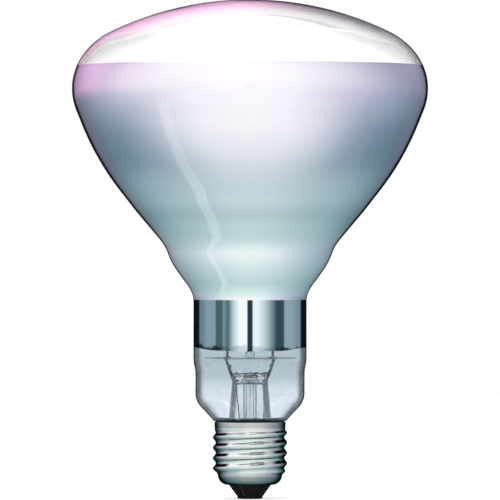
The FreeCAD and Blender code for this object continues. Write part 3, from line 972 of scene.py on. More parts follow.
    def rough(self, graph: ShaderGraph, height: Any) -> Any:
        """The satin's roughness, a little cloudy."""
        satin = graph.span(height, *self.satin_rise, self.low_satin, self.satin)
        foot = graph.span(height, *self.foot_rise, self.foot_satin - self.low_satin, 0.0)
        cloud = graph.math("MULTIPLY_ADD", graph.noise(self.cloud_scale, 2.0), *self.cloud_swing)
        return graph.product(graph.math("ADD", satin, foot), cloud)


@dataclass(frozen=True)
class RolledMetal(Finish):
    """Bright sheet metal with fine rubbing marks round it, with painted shade below, on its collar and at
    its outline.

    Attributes:
        scratch_depth: the depth of the rubbing marks.
        scratch_scale: marks per metre.
        scratch_stretch: how they are drawn out along each axis.
        scratch_range: the range of the marks in which the roughness changes.
        scratch_rough: the roughness at its two ends, as shares of the mean.
        limb: the facing shares between which the metal turns to its painted dark outline.
        limb_colour: the painted shade where one looks along it.
        edge_tint: the tint of its reflection there.
        base_rise: the heights between which the painted shade of the foot ends.
        base_shade: the foot's painted shade, as a share of light.
        collar_rise: the heights between which the collar's painted shade starts.
        collar_shade: the collar's painted shade, as a share of light.
    """

    scratch_depth: float = 0.006 * MM
    scratch_scale: float = 900.0
    scratch_stretch: Colour = (1.0, 1.0, 9.0)
    scratch_range: Span = (0.35, 0.75)
    scratch_rough: Span = (0.75, 1.4)
    limb: Span = (0.28, 0.70)
    limb_colour: Colour = (0.10, 0.16, 0.13)
    edge_tint: Colour = (0.22, 0.32, 0.25)
    base_rise: Span = (7.4 * MM, 9.2 * MM)
    base_shade: Colour = (0.36, 0.40, 0.41)
    collar_rise: Span = (24.8 * MM, 25.2 * MM)
    collar_shade: Colour = (0.70, 0.73, 0.72)

    def paint(self, graph: ShaderGraph, shader: Any) -> None:
        """Sets the shader's inputs."""
        tint = graph.blend(graph.noise(self.mottle_scale), self.colour, self.toned(-self.mottle))
        # Painted shade: a dark outline where one looks along the metal.
        tint = graph.blend(graph.span(graph.facing(), *self.limb), tint, self.limb_colour)
        # Painted shade: darker on the foot and on the collar.
        height = graph.parts(graph.place())[2]
        below = graph.span(height, *self.base_rise, 1.0, 0.0)
        tint = graph.blend(below, tint, self.base_shade, "MULTIPLY")
        above = graph.span(height, *self.collar_rise)
        marks = graph.noise(self.scratch_scale, 4.0, self.scratch_stretch)
        rough = (self.roughness * share for share in self.scratch_rough)
        dented = graph.bump(graph.noise(self.grain_scale, 2.0), self.grain)
        inputs = {
            "Base Color": graph.blend(above, tint, self.collar_shade, "MULTIPLY"),
            "Specular Tint": opaque(self.edge_tint),
            "Metallic": self.metallic,
            "Roughness": graph.span(marks, *self.scratch_range, *rough),
            "Normal": graph.bump(marks, self.scratch_depth, dented),
        }
        graph.fill(shader, inputs)


@dataclass(frozen=True)
class PaleFloor(Finish):
    """A dull floor that also shows as white to the camera and through clear glass.

    Attributes:
        glow: the light that it adds there.
    """

    glow: float = 0.5

    def paint(self, graph: ShaderGraph, shader: Any) -> None:
        """Sets the shader's inputs."""
        rays = graph.node("ShaderNodeLightPath").outputs
        seen = graph.math("ADD", rays["Is Camera Ray"], rays["Is Transmission Ray"])
        inputs = {
            "Base Color": opaque(self.colour),
            "Roughness": self.roughness,
            "Specular IOR Level": self.specular,
            "Emission Color": (1.0, 1.0, 1.0, 1.0),
            "Emission Strength": graph.product(graph.math("MINIMUM", seen, 1.0), self.glow),
        }
        graph.fill(shader, inputs)


class Finishes:
    """Every material of the lamp, made once."""

    def __init__(self, seam_height: float, tube_height: float) -> None:
        """Makes the materials.

        Args:
            seam_height: the height of the seam between the glass and the cap, below which the glass is
                painted dark as shade.
            tube_height: the height where the stem's round tube ends and its press starts.
        """
        # The bulb's glass carries painted reflections at its sides and painted shade at its outline, neck
        # and seam.
        self.bulb = ClearGlass(
            "bulb_glass", (1.0, 0.995, 1.0), grain_scale=28.0, waviness=0.12 * MM, roughness=0.0,
            neck_height=100.0 * MM, seam_height=seam_height, specular=0.3,
            left_tint=(0.84, 0.42, 0.70), right_tint=(0.17, 0.16, 0.18),
        ).material()
        self.silvered = SilveredGlass(
            "silvered_glass", (0.82, 0.83, 0.88), grain_scale=22.0, grain=0.08 * MM
        ).material()
        self.mirror = Finish(
            "mirror_film", (0.90, 0.91, 0.92), 1.0, 0.22, 0.03, 60.0, 0.004 * MM, 900.0
        ).material()
        # The dark strokes on the stem's crinkled press are its painted dark outline.
        self.stem = ClearGlass(
            "stem_glass", (0.95, 0.975, 0.97), limb=(0.30, 0.50), grain_scale=600.0,
            waviness=0.30 * MM, roughness=0.0, calm_height=tube_height, limb_colour=(0.01, 0.015, 0.02),
        ).material()
        self.nickel = Finish("nickel_wire", (0.30, 0.295, 0.285), 1.0, 0.32, 0.15, 700.0).material()
        self.seal_wire = Finish("seal_wire", (0.055, 0.022, 0.018), 0.6, 0.4, 0.3, 900.0).material()
        self.copper = Finish("copper_wire", (0.07, 0.045, 0.035), 0.7, 0.42, 0.25, 800.0).material()
        self.mica = Finish(
            "mica", (0.50, 0.47, 0.42), 0.0, 0.35, 0.35, 300.0, 0.03 * MM, 500.0, coat=0.5
        ).material()
        self.tungsten = Finish("tungsten", (0.23, 0.22, 0.21), 1.0, 0.42, 0.2, 900.0).material()
        self.molybdenum = Finish("molybdenum", (0.38, 0.38, 0.39), 1.0, 0.35, 0.2, 900.0).material()
        self.cap = RolledMetal(
            "cap_metal", (0.86, 0.92, 0.88), 1.0, 0.08, 0.35, 260.0, 0.05 * MM, 160.0
        ).material()
        self.insulator = Finish(
            "insulator_glass", (0.002, 0.002, 0.003), 0.0, 0.30, 0.3, 300.0, 0.10 * MM, 320.0,
            coat=0.25, specular=0.0,
        ).material()
        # The contact's near-black colour is painted shade, for the shadow that it lies in under the cap.
        self.contact = RolledMetal(
            "contact_brass", (0.05, 0.045, 0.038), 1.0, 0.38, 0.45, 500.0, 0.04 * MM, 500.0
        ).material()
        self.solder = Finish(
            "solder", (0.42, 0.42, 0.43), 1.0, 0.30, 0.3, 900.0, 0.05 * MM, 900.0
        ).material()
        self.cement = Finish(
            "cement", (0.52, 0.47, 0.38), 0.0, 0.9, 0.3, 900.0, 0.08 * MM, 2500.0
        ).material()


@dataclass
class Shop:
    """What every sub-assembly is built with: the finishes and the node trees."""

    finishes: Finishes
    lathe: LatheTree = field(default_factory=LatheTree)
    wire: WireTree = field(default_factory=WireTree)

    def turned(self, points: Sequence[Point], material: Any, segments: int = 96) -> Any:
        """A turned mesh from a profile that runs down the outside and up the inside."""
        return self.lathe.run(profile_mesh(points), segments=segments, material=material)

    def ring(self, corners: Sequence[Corner], material: Any, segments: int = 96, steps: int = 4) -> Any:
        """A turned mesh with a hole, from its section's corners. The first has no fillet."""
        return self.turned(rounded([*corners, corners[0]], steps), material, segments)

    def bent(self, path: Sequence[Vector], material: Any, radius: float, **sizes: Any) -> Any:
        """A wire's mesh along a path. sizes are the tree's other inputs."""
        given = {"bend_radius": 0.8 * MM, "bead_radius": 0.0, "copies": 1, "spacing": 0.0, **sizes}
        return self.wire.run(chain(path), material=material, wire_radius=radius, **given)


# The lamp's sub-assemblies


@dataclass
class Cap:
    """The screw cap: a rolled shell, its black insulator, the contact and the two solders."""

    shop: Shop
    thread_pitch: float = 3.629 * MM
    thread_depth: float = 1.0 * MM
    crest_height: float = 16.1 * MM
    sheet: float = 0.3 * MM
    collar_height: float = 2.2 * MM
    collar_inset: float = 0.6 * MM
    thread_foot: float = 8.3 * MM
    thread_fade: float = 1.8 * MM
    base_step: float = 0.8 * MM
    land_step: float = 0.1 * MM
    lip_radius: float = 7.4 * MM
    rim_fillet: float = 0.12 * MM
    rows_per_pitch: int = 18
    segments: int = 144
    insulator_edge: float = 0.15 * MM
    insulator_gap: float = 0.1 * MM
    contact_corner: float = 0.45 * MM
    hole_radius: float = 1.2 * MM
    solder_dome: float = 0.5 * MM
    solder_spread: float = 1.0 * MM
    solder_plug: float = 0.66
    solder_ripple: float = 0.07
    solder_ripple_scale: float = 1400.0
    solder_hollow: float = 0.12 * MM

    def __post_init__(self) -> None:
        """Reads the cap's overall sizes from the frame."""
        low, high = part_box("cap_shell")
        self.base_height, self.rim_height, self.crest_radius = low.z, high.z, high.x
        self.root_radius = self.crest_radius - self.thread_depth
        self.collar_radius = self.crest_radius - self.collar_inset
        self.collar_foot = self.rim_height - self.collar_height
        self.base_radius = self.root_radius - self.base_step
        self.seal_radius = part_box("outer_lead_left")[1].y - 0.5 * MM

    def build(self) -> None:
        """Builds the cap's pieces."""
        self.build_shell()
        self.build_insulator()
        self.build_contact()
        self.build_centre_solder()
        self.build_side_solder()
        self.build_cement()

    def share(self, height: float) -> float:
        """How far the thread is rolled in at a height, from 0 to 1."""
        room = min(height - self.thread_foot, self.collar_foot - height)
        return math.sin(math.pi / 2 * max(0.0, min(1.0, room / self.thread_fade))) ** 2

    def wall(self, inset: float) -> list[tuple[Point, float, float]]:
        """One side of the shell from the collar down to the lip.

        Args:
            inset: how deep this side lies under the outside.

        Returns:
            Each point with its share of the thread and the thread's root there.
        """
        collar, base = self.collar_radius - inset, self.base_radius - inset
        root = self.root_radius - inset
        length = self.collar_foot - self.thread_foot
        count = round(self.rows_per_pitch * length / self.thread_pitch)
        points = []
        for i in range(count + 1):
            height = self.collar_foot - length * i / count
            middle = (self.collar_foot + self.thread_foot) / 2
            plain = collar - self.land_step if height > middle else base + self.land_step
            points.append((Point(plain, height), self.share(height), root))
        low = self.base_height + inset
        reach = min(base - self.lip_radius, self.thread_foot - low)
        bottom = arc(Point(base, low + reach, 90.0), Point(base - reach, low, 180.0), 7.0)
        points += [(p, 0.0, root) for p in bottom]
        return points

    def build_shell(self) -> None:
        """The shell of thin sheet, threaded inside and out."""
        outside, inside = self.wall(0.0), self.wall(self.sheet)
        rim = self.rim_height
        outer, inner = self.collar_radius, self.collar_radius - self.sheet
        top = rounded(
            [
                (inner, self.collar_foot + self.sheet, 0.0),
                (inner, rim, self.rim_fillet),
                (outer, rim, self.rim_fillet),
                (outer, self.collar_foot + self.sheet, 0.0),
            ]
        )
        lip = [
            Point(self.lip_radius, self.base_height),
            Point(self.lip_radius, self.base_height + self.sheet),
        ]
        plain = [(p, 0.0, self.root_radius) for p in top]
        rows = plain + outside + [(p, 0.0, self.root_radius) for p in lip]
        rows += inside[::-1] + [plain[0]]
        marks = {"thread_share": [s for _, s, _ in rows], "thread_root": [r for _, _, r in rows]}
        mesh = RolledThreadTree().run(
            profile_mesh([p for p, _, _ in rows], marks),
            segments=self.segments,
            material=self.shop.finishes.cap,
            pitch=self.thread_pitch,
            depth=self.thread_depth,
            crest_height=self.crest_height,
        )
        add_piece("rolled_shell", mesh, Slot.CAP_METAL, "cap_shell")

    def build_insulator(self) -> None:
        """The black glass cone, moulded into the shell's base."""
        low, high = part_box("cap_insulator")
        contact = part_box("centre_contact")[1]
        foot = contact.x + self.insulator_edge
        inner = self.base_radius - self.sheet
        seat = self.base_height + self.insulator_gap
        corners = [
            (self.hole_radius, high.z, 0.0),
            (high.x, high.z, 0.2 * MM),
            (inner, self.thread_foot - 0.8 * MM, 0.0),
            (self.lip_radius + 0.6 * MM, seat + self.sheet, 0.0),
            (self.lip_radius, seat, 0.0),
            (self.lip_radius - 0.05 * MM, self.base_height - 0.15 * MM, 0.0),
            (foot, low.z, 0.35 * MM),
            (self.hole_radius, low.z, 0.0),
        ]
        mesh = self.shop.ring(corners, self.shop.finishes.insulator)
        add_piece("insulator", mesh, Slot.INSULATOR, "cap_insulator")

    def build_contact(self) -> None:
        """The contact disc, pressed over at its rim and round its hole."""
        low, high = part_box("centre_contact")
        hole = self.hole_radius
        corners = [
            (hole, high.z, 0.0),
            (high.x, high.z, 0.08 * MM),
            (high.x, low.z, self.contact_corner),
            (hole, low.z, 0.15 * MM),
        ]
        mesh = self.shop.ring(corners, self.shop.finishes.contact, 72)
        add_piece("contact", mesh, Slot.CONTACT, "centre_contact")

    def build_centre_solder(self) -> None:
        """The solder in the contact's hole, with its hollow face."""
        low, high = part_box("centre_solder")
        edge = self.hole_radius - 0.02 * MM
        top = [Point(0.0, high.z), Point(edge * 0.8, high.z), Point(edge, high.z - 0.1 * MM)]
        across = (1.0, 0.9, 0.7, 0.45, 0.2, 0.0)
        face = [Point(edge * s, low.z + self.solder_hollow * (1 - s * s)) for s in across]
        mesh = self.shop.turned(top + face, self.shop.finishes.solder, 40)
        add_piece("contact_solder", mesh, Slot.SOLDER, "centre_solder")

    def build_side_solder(self) -> None:
        """The solder drop that holds the left lead in the collar."""
        low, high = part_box("side_solder")
        half = self.solder_spread
        start = self.collar_radius - low.y
        plug = half * self.solder_plug
        profile = [Point(0.0, -start), Point(plug, -start), Point(plug, -0.02 * MM)]
        for share in shares(8)[::-1]:
            profile.append(Point(half * share, self.solder_dome * (1 - share * share) ** 0.8))
        mesh = self.shop.turned(profile[::-1], self.shop.finishes.solder, 40)
        for vertex in mesh.vertices:
            ripple = noise.noise(vertex.co * self.solder_ripple_scale) * self.solder_ripple
            vertex.co.x *= 1 + ripple
            vertex.co.y *= 1 - ripple
        middle = Vector((0.0, self.collar_radius, (low.z + high.z) / 2))
        mesh.transform(Matrix.Translation(middle) @ Euler((-math.pi / 2, 0, 0)).to_matrix().to_4x4())
        add_piece("collar_solder", mesh, Slot.SOLDER, "side_solder")

    def build_cement(self) -> None:
        """The ring of cement between the glass and the collar."""
        low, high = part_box("capping_cement")
        inner = self.seal_radius + 0.02 * MM
        outer = self.collar_radius - self.sheet - 0.02 * MM
        under = self.root_radius - self.sheet - 0.05 * MM
        corners = [
            (inner, high.z, 0.0),
            (outer, high.z, 0.0),
            (outer, self.collar_foot, 0.0),
            (under, self.collar_foot, 0.0),
            (under, low.z, 0.2 * MM),
            (inner, low.z, 0.0),
        ]
        mesh = self.shop.ring(corners, self.shop.finishes.cement)
        add_piece("cement_ring", mesh, Slot.CEMENT, "capping_cement")


@dataclass
class Bulb:
    """The blown bulb and the mirror inside it, on one outline."""

    shop: Shop
    cap: Cap
    neck_radius: float = 19.85 * MM
    face_edge_inset: float = 13.5 * MM
    skirt_inset: float = 4.2 * MM
    foot_swell: float = 12.55 * MM
    bulge_swell: float = 9.05 * MM
    bulge_foot_swell: float = 2.65 * MM
    neck_step: float = 0.7 * MM
    face_rise: float = 11.3 * MM
    rim_upper: float = 19.9 * MM
    rim_lower: float = 14.4 * MM
    reflector: float = 37.7 * MM
    knuckle: float = 5.6 * MM
    bulge: float = 10.6 * MM
    flare: float = 6.4 * MM
    neck: float = 19.8 * MM
    neck_step_height: float = 6.0 * MM
    lower_neck: float = 6.5 * MM
    shoulder: float = 9.1 * MM
    shoulder_overhang: float = 0.8 * MM
    turn_down: float = 0.7 * MM
    seal_turn: float = 1.0 * MM
    wall: float = 0.9 * MM
    film: float = 0.1 * MM
    film_gap: float = 0.01 * MM
    slack: float = 0.001 * MM
    step_degrees: float = 2.5
    longest_step: float = 2.5 * MM
    segments: int = 176
    edge_reach: float = 3.0 * MM
    edge_rise: float = 1.3 * MM

    def __post_init__(self) -> None:
        """Reads the overall sizes from the frame and draws the outline."""
        low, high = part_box("glass_bulb")
        self.radius, self.crown, self.foot = high.x, high.z, low.z
        self.mirror_foot, self.mirror_top = (corner.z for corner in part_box("mirror_coating"))
        self.outline = self.draw()
        self.tree = SilveredBulbTree()

    def stations(self) -> list[Point]:
        """The points that shape the outline, from the crown down."""
        face, neck, collar = self.radius - self.face_edge_inset, self.neck_radius, self.cap.collar_radius
        drops = [
            (face, self.face_rise, 2 * math.degrees(math.atan(self.face_rise / face))),
            (self.radius, self.rim_upper, 90.0),
            (self.radius - self.skirt_inset, self.rim_lower, 113.0),
            (neck + self.foot_swell, self.reflector, 131.5),
            (neck + self.bulge_swell, self.knuckle, 109.0),
            (neck + self.bulge_foot_swell, self.bulge, 128.0),
            (neck, self.flare, 90.0),
            (neck, self.neck, 90.0),
            (neck - self.neck_step, self.neck_step_height, 90.0),
            (neck - self.neck_step, self.lower_neck, 90.0),
            (collar + self.shoulder_overhang, self.shoulder, 131.0),
            (collar - self.cap.sheet, self.turn_down, 170.0),
            (self.cap.seal_radius, self.seal_turn, 90.0),
        ]
        points = [Point(0.0, self.crown, 0.0)]
        for radius, drop, heading in drops:
            points.append(Point(radius, points[-1].height - drop, heading))
        return points + [Point(self.cap.seal_radius, self.foot, 90.0)]

    def draw(self) -> list[Point]:
        """The outline's points, with one at each edge of the mirror."""
        stations = self.stations()
        points: list[Point] = []
        for start, end in zip(stations, stations[1:]):
            points += biarc(start, end, self.step_degrees)
        points.append(stations[-1])
        points = long_steps(points, self.longest_step)
        return cut_at(cut_at(points, self.mirror_top), self.mirror_foot)

    def build(self) -> None:
        """Builds the bulb and its mirror."""
        self.build_glass()
        self.build_mirror()

    def build_glass(self) -> None:
        """The glass: its outside, and its inside parallel to it."""
        inside = [p.inside(self.wall) for p in self.outline]
        inside[0] = Point(0.0, self.crown - self.wall, 0.0)
        rows = self.outline + inside[::-1]
        outside = [1.0] * len(self.outline) + [0.0] * len(inside)
        mesh = self.silvered(rows, outside, self.shop.finishes.bulb)
        add_piece("blown_bulb", mesh, Slot.BULB_GLASS, "glass_bulb")

    def build_mirror(self) -> None:
        """The film on the inner wall, from the neck up to the rim."""
        low, high = self.mirror_foot - self.slack, self.mirror_top + self.slack
        band = [p for p in self.outline if low <= p.height <= high]
        outside = [p.inside(self.wall + self.film_gap) for p in band]
        inside = [p.inside(self.wall + self.film) for p in band]
        rows = outside + inside[::-1] + [outside[0]]
        mesh = self.silvered(rows, [0.0] * len(rows), self.shop.finishes.mirror)
        add_piece("mirror", mesh, Slot.MIRROR, "mirror_coating")

    def silvered(self, rows: Sequence[Point], outside: Sequence[float], material: Any) -> Any:
        """A turned mesh whose mirror zone has the mirror's wandering lower edge.

        Args:
            rows: the profile.
            outside: 1 at each point on the bulb's outside, 0 at the others.
            material: its material outside the mirror's zone.

        Returns:
            The mesh.
        """
        return self.tree.run(
            profile_mesh(rows, {"outside": outside}),
            segments=self.segments,
            material=material,
            silvered_material=self.shop.finishes.silvered,
            mirror_foot=self.mirror_foot,
            mirror_top=self.mirror_top,
            edge_reach=self.edge_reach,
            edge_rise=self.edge_rise,
        )


@dataclass
class Stem:
    """The stem's glass, its exhaust tube and the glass rod on top."""

    shop: Shop
    foot_radius: float = 7.5 * MM
    top_radius: float = 6.3 * MM
    wall: float = 1.0 * MM
    press_width: float = 18.0 * MM
    press_thickness: float = 5.6 * MM
    press_height: float = 8.0 * MM
    pinch_height: float = 3.6 * MM
    squareness: float = 3.4
    flare_foot: float = 28.0 * MM
    bore_roof: float = 0.3 * MM
    crinkle: float = 0.32 * MM
    crinkle_scale: float = 520.0
    exhaust_tip: float = 2.8 * MM
    exhaust_wall: float = 0.9 * MM
    sides: int = 96
    roof_share: float = 0.55
    roof_rise: float = 0.35 * MM
    top_edge: float = 0.15 * MM
    top_shares: Span = (0.985, 0.94)
    rod_radius: float = 1.6 * MM
    rod_waist: float = 0.12 * MM

    def __post_init__(self) -> None:
        """Reads the stem's heights from the frame."""
        low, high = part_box("stem_glass")
        self.foot, self.top = low.z, high.z
        self.flare_radius = high.y
        self.tube_top = self.top - self.press_height

    def build(self) -> None:
        """Builds the glass pieces of the stem."""
        self.build_stem()
        self.build_exhaust_tube()
        self.build_rod()

    def tube_radius(self, height: float) -> float:
        """The tube's outer radius: a flare at the foot, a slow taper above."""
        if height < self.flare_foot:
            share = (self.flare_foot - height) / (self.flare_foot - self.foot)
            return self.foot_radius + (self.flare_radius - self.foot_radius) * share**3
        share = (height - self.flare_foot) / (self.tube_top - self.flare_foot)
        return self.foot_radius + (self.top_radius - self.foot_radius) * share

    def outside(self, angle: float, height: float) -> Vector:
        """A point of the stem's outside. The press goes from round to flat, and is crinkled."""
        if height <= self.tube_top:
            return spoke(angle, self.tube_radius(height), height)
        rise = (height - self.tube_top) / self.press_height
        pinch = math.sin(math.pi / 2 * min(1.0, (height - self.tube_top) / self.pinch_height)) ** 2
        half_width = self.top_radius + (self.press_width / 2 - self.top_radius) * rise
        half_depth = self.top_radius + (self.press_thickness / 2 - self.top_radius) * pinch
        power = 2 / (2 + (self.squareness - 2) * pinch)
        c, s = math.cos(angle), math.sin(angle)
        x = half_width * math.copysign(abs(c) ** power, c)
        y = half_depth * math.copysign(abs(s) ** power, s)
        place = Vector((x, y, height))
        waves = noise.fractal(place * self.crinkle_scale, 1.0, 2.0, 2)
        return place + Vector((0, math.copysign(1, s), 0)) * waves * self.crinkle * pinch * abs(s)

    def build_stem(self) -> None:
        """The flared tube with its flat press."""

        def ring(height: float, place: Callable[[float, float], Vector]) -> list[Vector]:
            """One ring of points at a height."""
            return [place(math.tau * j / self.sides, height) for j in range(self.sides)]

        def bore(angle: float, height: float) -> Vector:
            """A point of the tube's inside."""
            return spoke(angle, self.tube_radius(height) - self.wall, height)

        def heights(low: float, high: float, count: int) -> list[float]:
            """Even heights, with both ends."""
            return [low + (high - low) * share for share in shares(count)]

        roof = self.tube_top - self.bore_roof
        outer = heights(self.foot, self.tube_top, 40)
        outer += heights(self.tube_top, self.top - self.top_edge, 36)[1:]
        eaves = ring(roof, bore)
        share = self.roof_share
        rows = [[Vector((p.x * share, p.y * share, roof + self.roof_rise)) for p in eaves], eaves]
        rows += [ring(z, bore) for z in heights(self.foot, roof, 30)[::-1][1:]]
        rows += [ring(z, self.outside) for z in outer]
        wide, deep = self.top_shares
        rows.append([Vector((p.x * wide, p.y * deep, self.top)) for p in rows[-1]])
        mesh = skin(rows)
        mesh.materials.append(self.shop.finishes.stem)
        add_piece("stem", mesh, Slot.STEM_GLASS, "stem_glass")

    def build_exhaust_tube(self) -> None:
        """The thin tube in the stem, drawn to a point at its foot."""
        low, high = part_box("exhaust_tube")
        outer, bore = high.x, high.x - self.exhaust_wall
        shoulder = low.z + self.exhaust_tip
        rows = []
        for share in shares(6)[::-1]:
            rows.append(Point(bore * (1 - share**2) ** 0.5, shoulder + bore * (1 - share)))
        rows += [Point(bore, high.z), Point(outer, high.z)]
        for share in shares(8)[:-1]:
            radius = outer * math.cos(share * math.pi / 2) ** 0.8
            rows.append(Point(radius, shoulder - self.exhaust_tip * share))
        rows.append(Point(0.0, low.z))
        mesh = self.shop.turned(rows, self.shop.finishes.stem, 48)
        add_piece("exhaust_pipe", mesh, Slot.STEM_GLASS, "exhaust_tube")

    def build_rod(self) -> None:
        """The rod that carries the filament's supports, with its melted button."""
        low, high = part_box("centre_rod")
        radius, ball = self.rod_radius, high.x
        middle = high.z - ball
        rows = [Point(0.0, high.z)]
        join = math.asin(radius / ball)
        for i in range(1, 17):
            angle = (math.pi - join) * i / 16
            rows.append(Point(ball * math.sin(angle), middle + ball * math.cos(angle)))
        waist = middle - ball * 1.6
        rows += [Point(radius - self.rod_waist, waist), Point(radius, (waist + low.z) / 2)]
        rows += [Point(radius, low.z + 0.6 * MM), Point(radius, low.z), Point(0.0, low.z)]
        mesh = self.shop.turned(rows, self.shop.finishes.stem, 40)
        add_piece("button_rod", mesh, Slot.STEM_GLASS, "centre_rod")


@dataclass
class Mount:
    """The filament with its leads and supports, and the heat deflector under it."""

    shop: Shop
    stem: Stem
    lead_radius: float = 0.5 * MM
    lead_spread: float = 8.0 * MM
    bead_radius: float = 0.75 * MM
    bead_spread: float = 7.15 * MM
    bead_depth: float = 2.4 * MM
    lead_bend: float = 2.5 * MM
    lead_bend_depth: float = 0.8 * MM
    lead_turn_depth: float = 9.0 * MM
    ring_radius: float = 15.0 * MM
    coil_radius: float = 0.45 * MM
    coil_wire: float = 0.13 * MM
    coil_turns: int = 118
    span_degrees: float = 260.0
    clamp_bore: float = 0.7 * MM
    clamp_wall: float = 0.4 * MM
    clamp_length: float = 2.6 * MM
    support_radius: float = 0.2 * MM
    support_count: int = 5
    support_spacing: float = 36.0
    support_root: float = 0.7
    loop_radius: float = 0.85 * MM
    seal_wire_radius: float = 0.3 * MM
    outer_lead_radius: float = 0.2 * MM
    lead_gap: float = 1.3 * MM
    crossing_drop: float = 2.8 * MM
    eyelet_wall: float = 0.3 * MM
    eyelet_flange: float = 0.7 * MM
    flange_thickness: float = 0.25 * MM
    rod_clearance: float = 0.15 * MM

    def __post_init__(self) -> None:
        """Reads the heights from the frame."""
        low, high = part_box("filament")
        self.filament_height = (low.z + high.z) / 2
        self.weld_height = self.stem.top - self.bead_depth
        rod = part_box("centre_rod")[1]
        self.button_radius, self.button_height = rod.x, rod.z - rod.x

    def build(self) -> None:
        """Builds the wires, the filament and the deflector."""
        for side in Side:
            self.build_inner_lead(side)
            self.build_seal_wire(side)
            self.build_eyelet(side)
        self.build_outer_leads()
        self.build_filament()
        self.build_supports()
        self.build_deflector()

    def filament_end(self, side: Side) -> tuple[Vector, float]:
        """Where the filament ends on one side, and the ring's angle there."""
        angle = math.radians(-90 + side.value * (360 - self.span_degrees) / 2)
        return spoke(angle, self.ring_radius, self.filament_height), angle

    def build_inner_lead(self, side: Side) -> None:
        """The stiff lead from its weld bead in the press up to the filament's clamp."""
        end, angle = self.filament_end(side)
        x = side.value * self.lead_spread
        path = [
            Vector((side.value * self.bead_spread, 0, self.weld_height)),
            Vector((x, 0, self.stem.top - self.lead_bend_depth)),
            Vector((x, 0, self.filament_height - self.lead_turn_depth)),
            end,
        ]
        nickel = self.shop.finishes.nickel
        name = f"inner_lead_{side.word}"
        sizes = {"bend_radius": self.lead_bend, "bead_radius": self.bead_radius}
        wire = self.shop.bent(path, nickel, self.lead_radius, **sizes)
        half = self.clamp_length / 2
        bore, outer = self.clamp_bore, self.clamp_bore + self.clamp_wall
        corners = [
            (bore, 0.0, 0.0),
            (bore, half, 0.1 * MM),
            (outer, half, 0.15 * MM),
            (outer, -half, 0.15 * MM),
            (bore, -half, 0.1 * MM),
        ]
        clamp = self.shop.ring(corners, nickel, 28)
        turn = Euler((math.pi / 2, 0, angle)).to_matrix().to_4x4()
        clamp.transform(Matrix.Translation(end) @ turn)
        add_piece(f"lead_{side.word}", joined(wire, clamp), Slot.NICKEL_WIRE, name)

    def joint(self, side: Side) -> Vector:
        """Where a seal wire meets its outer lead, inside the stem's tube."""
        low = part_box(f"seal_wire_{side.word}")[0]
        x = self.stem.top_radius - self.stem.wall - self.seal_wire_radius - 0.1 * MM
        return Vector((side.value * x, 0, low.z))

    def build_seal_wire(self, side: Side) -> None:
        """The short wire that is sealed in the press."""
        joint = self.joint(side)
        path = [
            joint,
            Vector((joint.x, 0, self.stem.tube_top)),
            Vector((side.value * self.bead_spread, 0, self.weld_height)),
        ]
        name = f"seal_wire_{side.word}"
        mesh = self.shop.bent(path, self.shop.finishes.seal_wire, self.seal_wire_radius)
        add_piece(f"sealed_wire_{side.word}", mesh, Slot.SEAL_WIRE, name)

    def build_outer_leads(self) -> None:
        """The thin leads down into the cap: the right one to the contact, the left to the collar."""
        low_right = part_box("outer_lead_right")[0].z
        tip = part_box("exhaust_tube")[0].z
        right = self.joint(Side.RIGHT)
        crossing = tip - self.lead_gap
        path = [
            right,
            Vector((right.x, 0, crossing)),
            Vector((0, 0, crossing - self.crossing_drop)),
            Vector((0, 0, low_right)),
        ]
        copper = self.shop.finishes.copper
        mesh = self.shop.bent(path, copper, self.outer_lead_radius)
        add_piece("thin_lead_right", mesh, Slot.COPPER_WIRE, "outer_lead_right")
        low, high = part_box("outer_lead_left")
        left = self.joint(Side.LEFT)
        inner = left.x + self.lead_gap
        under = low.z + self.outer_lead_radius
        side = high.y - self.outer_lead_radius
        path = [
            left,
            Vector((inner, 0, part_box("cap_shell")[1].z)),
            Vector((inner, 0, under)),
            Vector((0, side, under)),
            Vector((0, side, high.z)),
        ]
        mesh = self.shop.bent(path, copper, self.outer_lead_radius)
        add_piece("thin_lead_left", mesh, Slot.COPPER_WIRE, "outer_lead_left")

    def build_filament(self) -> None:
        """The coiled ring, open at the front."""
        _, start = self.filament_end(Side.RIGHT)
        mesh = CoilTree().run(
            chain([(0, 0, 0), (0, 0, MM)]),
            material=self.shop.finishes.tungsten,
            wire_radius=self.coil_wire,
            coil_radius=self.coil_radius,
            ring_radius=self.ring_radius,
            height=self.filament_height,
            start_angle=start,
            span=math.radians(self.span_degrees),
            turns=float(self.coil_turns),
        )
        add_piece("coil", mesh, Slot.TUNGSTEN, "filament")

    def build_supports(self) -> None:
        """The fine wires from the button to the ring, each with its loop."""
        first = math.radians(90 - (self.support_count - 1) / 2 * self.support_spacing)
        path = [spoke(first, self.button_radius * self.support_root, self.button_height)]
        for share in shares(24):
            turn = -math.pi / 2 + math.tau * share
            reach = self.ring_radius + self.loop_radius * math.cos(turn)
            path.append(spoke(first, reach, self.filament_height + self.loop_radius * math.sin(turn)))
        spacing = math.radians(self.support_spacing)
        mesh = self.shop.bent(
            path, self.shop.finishes.molybdenum, self.support_radius,
            copies=self.support_count, spacing=spacing, bend_radius=0.1 * MM,
        )
        nodes = [f"filament_support_{n}" for n in range(1, self.support_count + 1)]
        add_piece("ring_supports", mesh, Slot.MOLYBDENUM, *nodes)

    def build_deflector(self) -> None:
        """The disc over the press, with a hole for the rod."""
        low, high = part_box("heat_deflector")
        hole = self.stem.rod_radius + self.rod_clearance
        edge = 0.08 * MM
        corners = [
            (hole, high.z, 0.0),
            (high.x, high.z, edge),
            (high.x, low.z, edge),
            (hole, low.z, 0.0),
        ]
        mesh = self.shop.ring(corners, self.shop.finishes.mica)
        add_piece("deflector_disc", mesh, Slot.MICA, "heat_deflector")

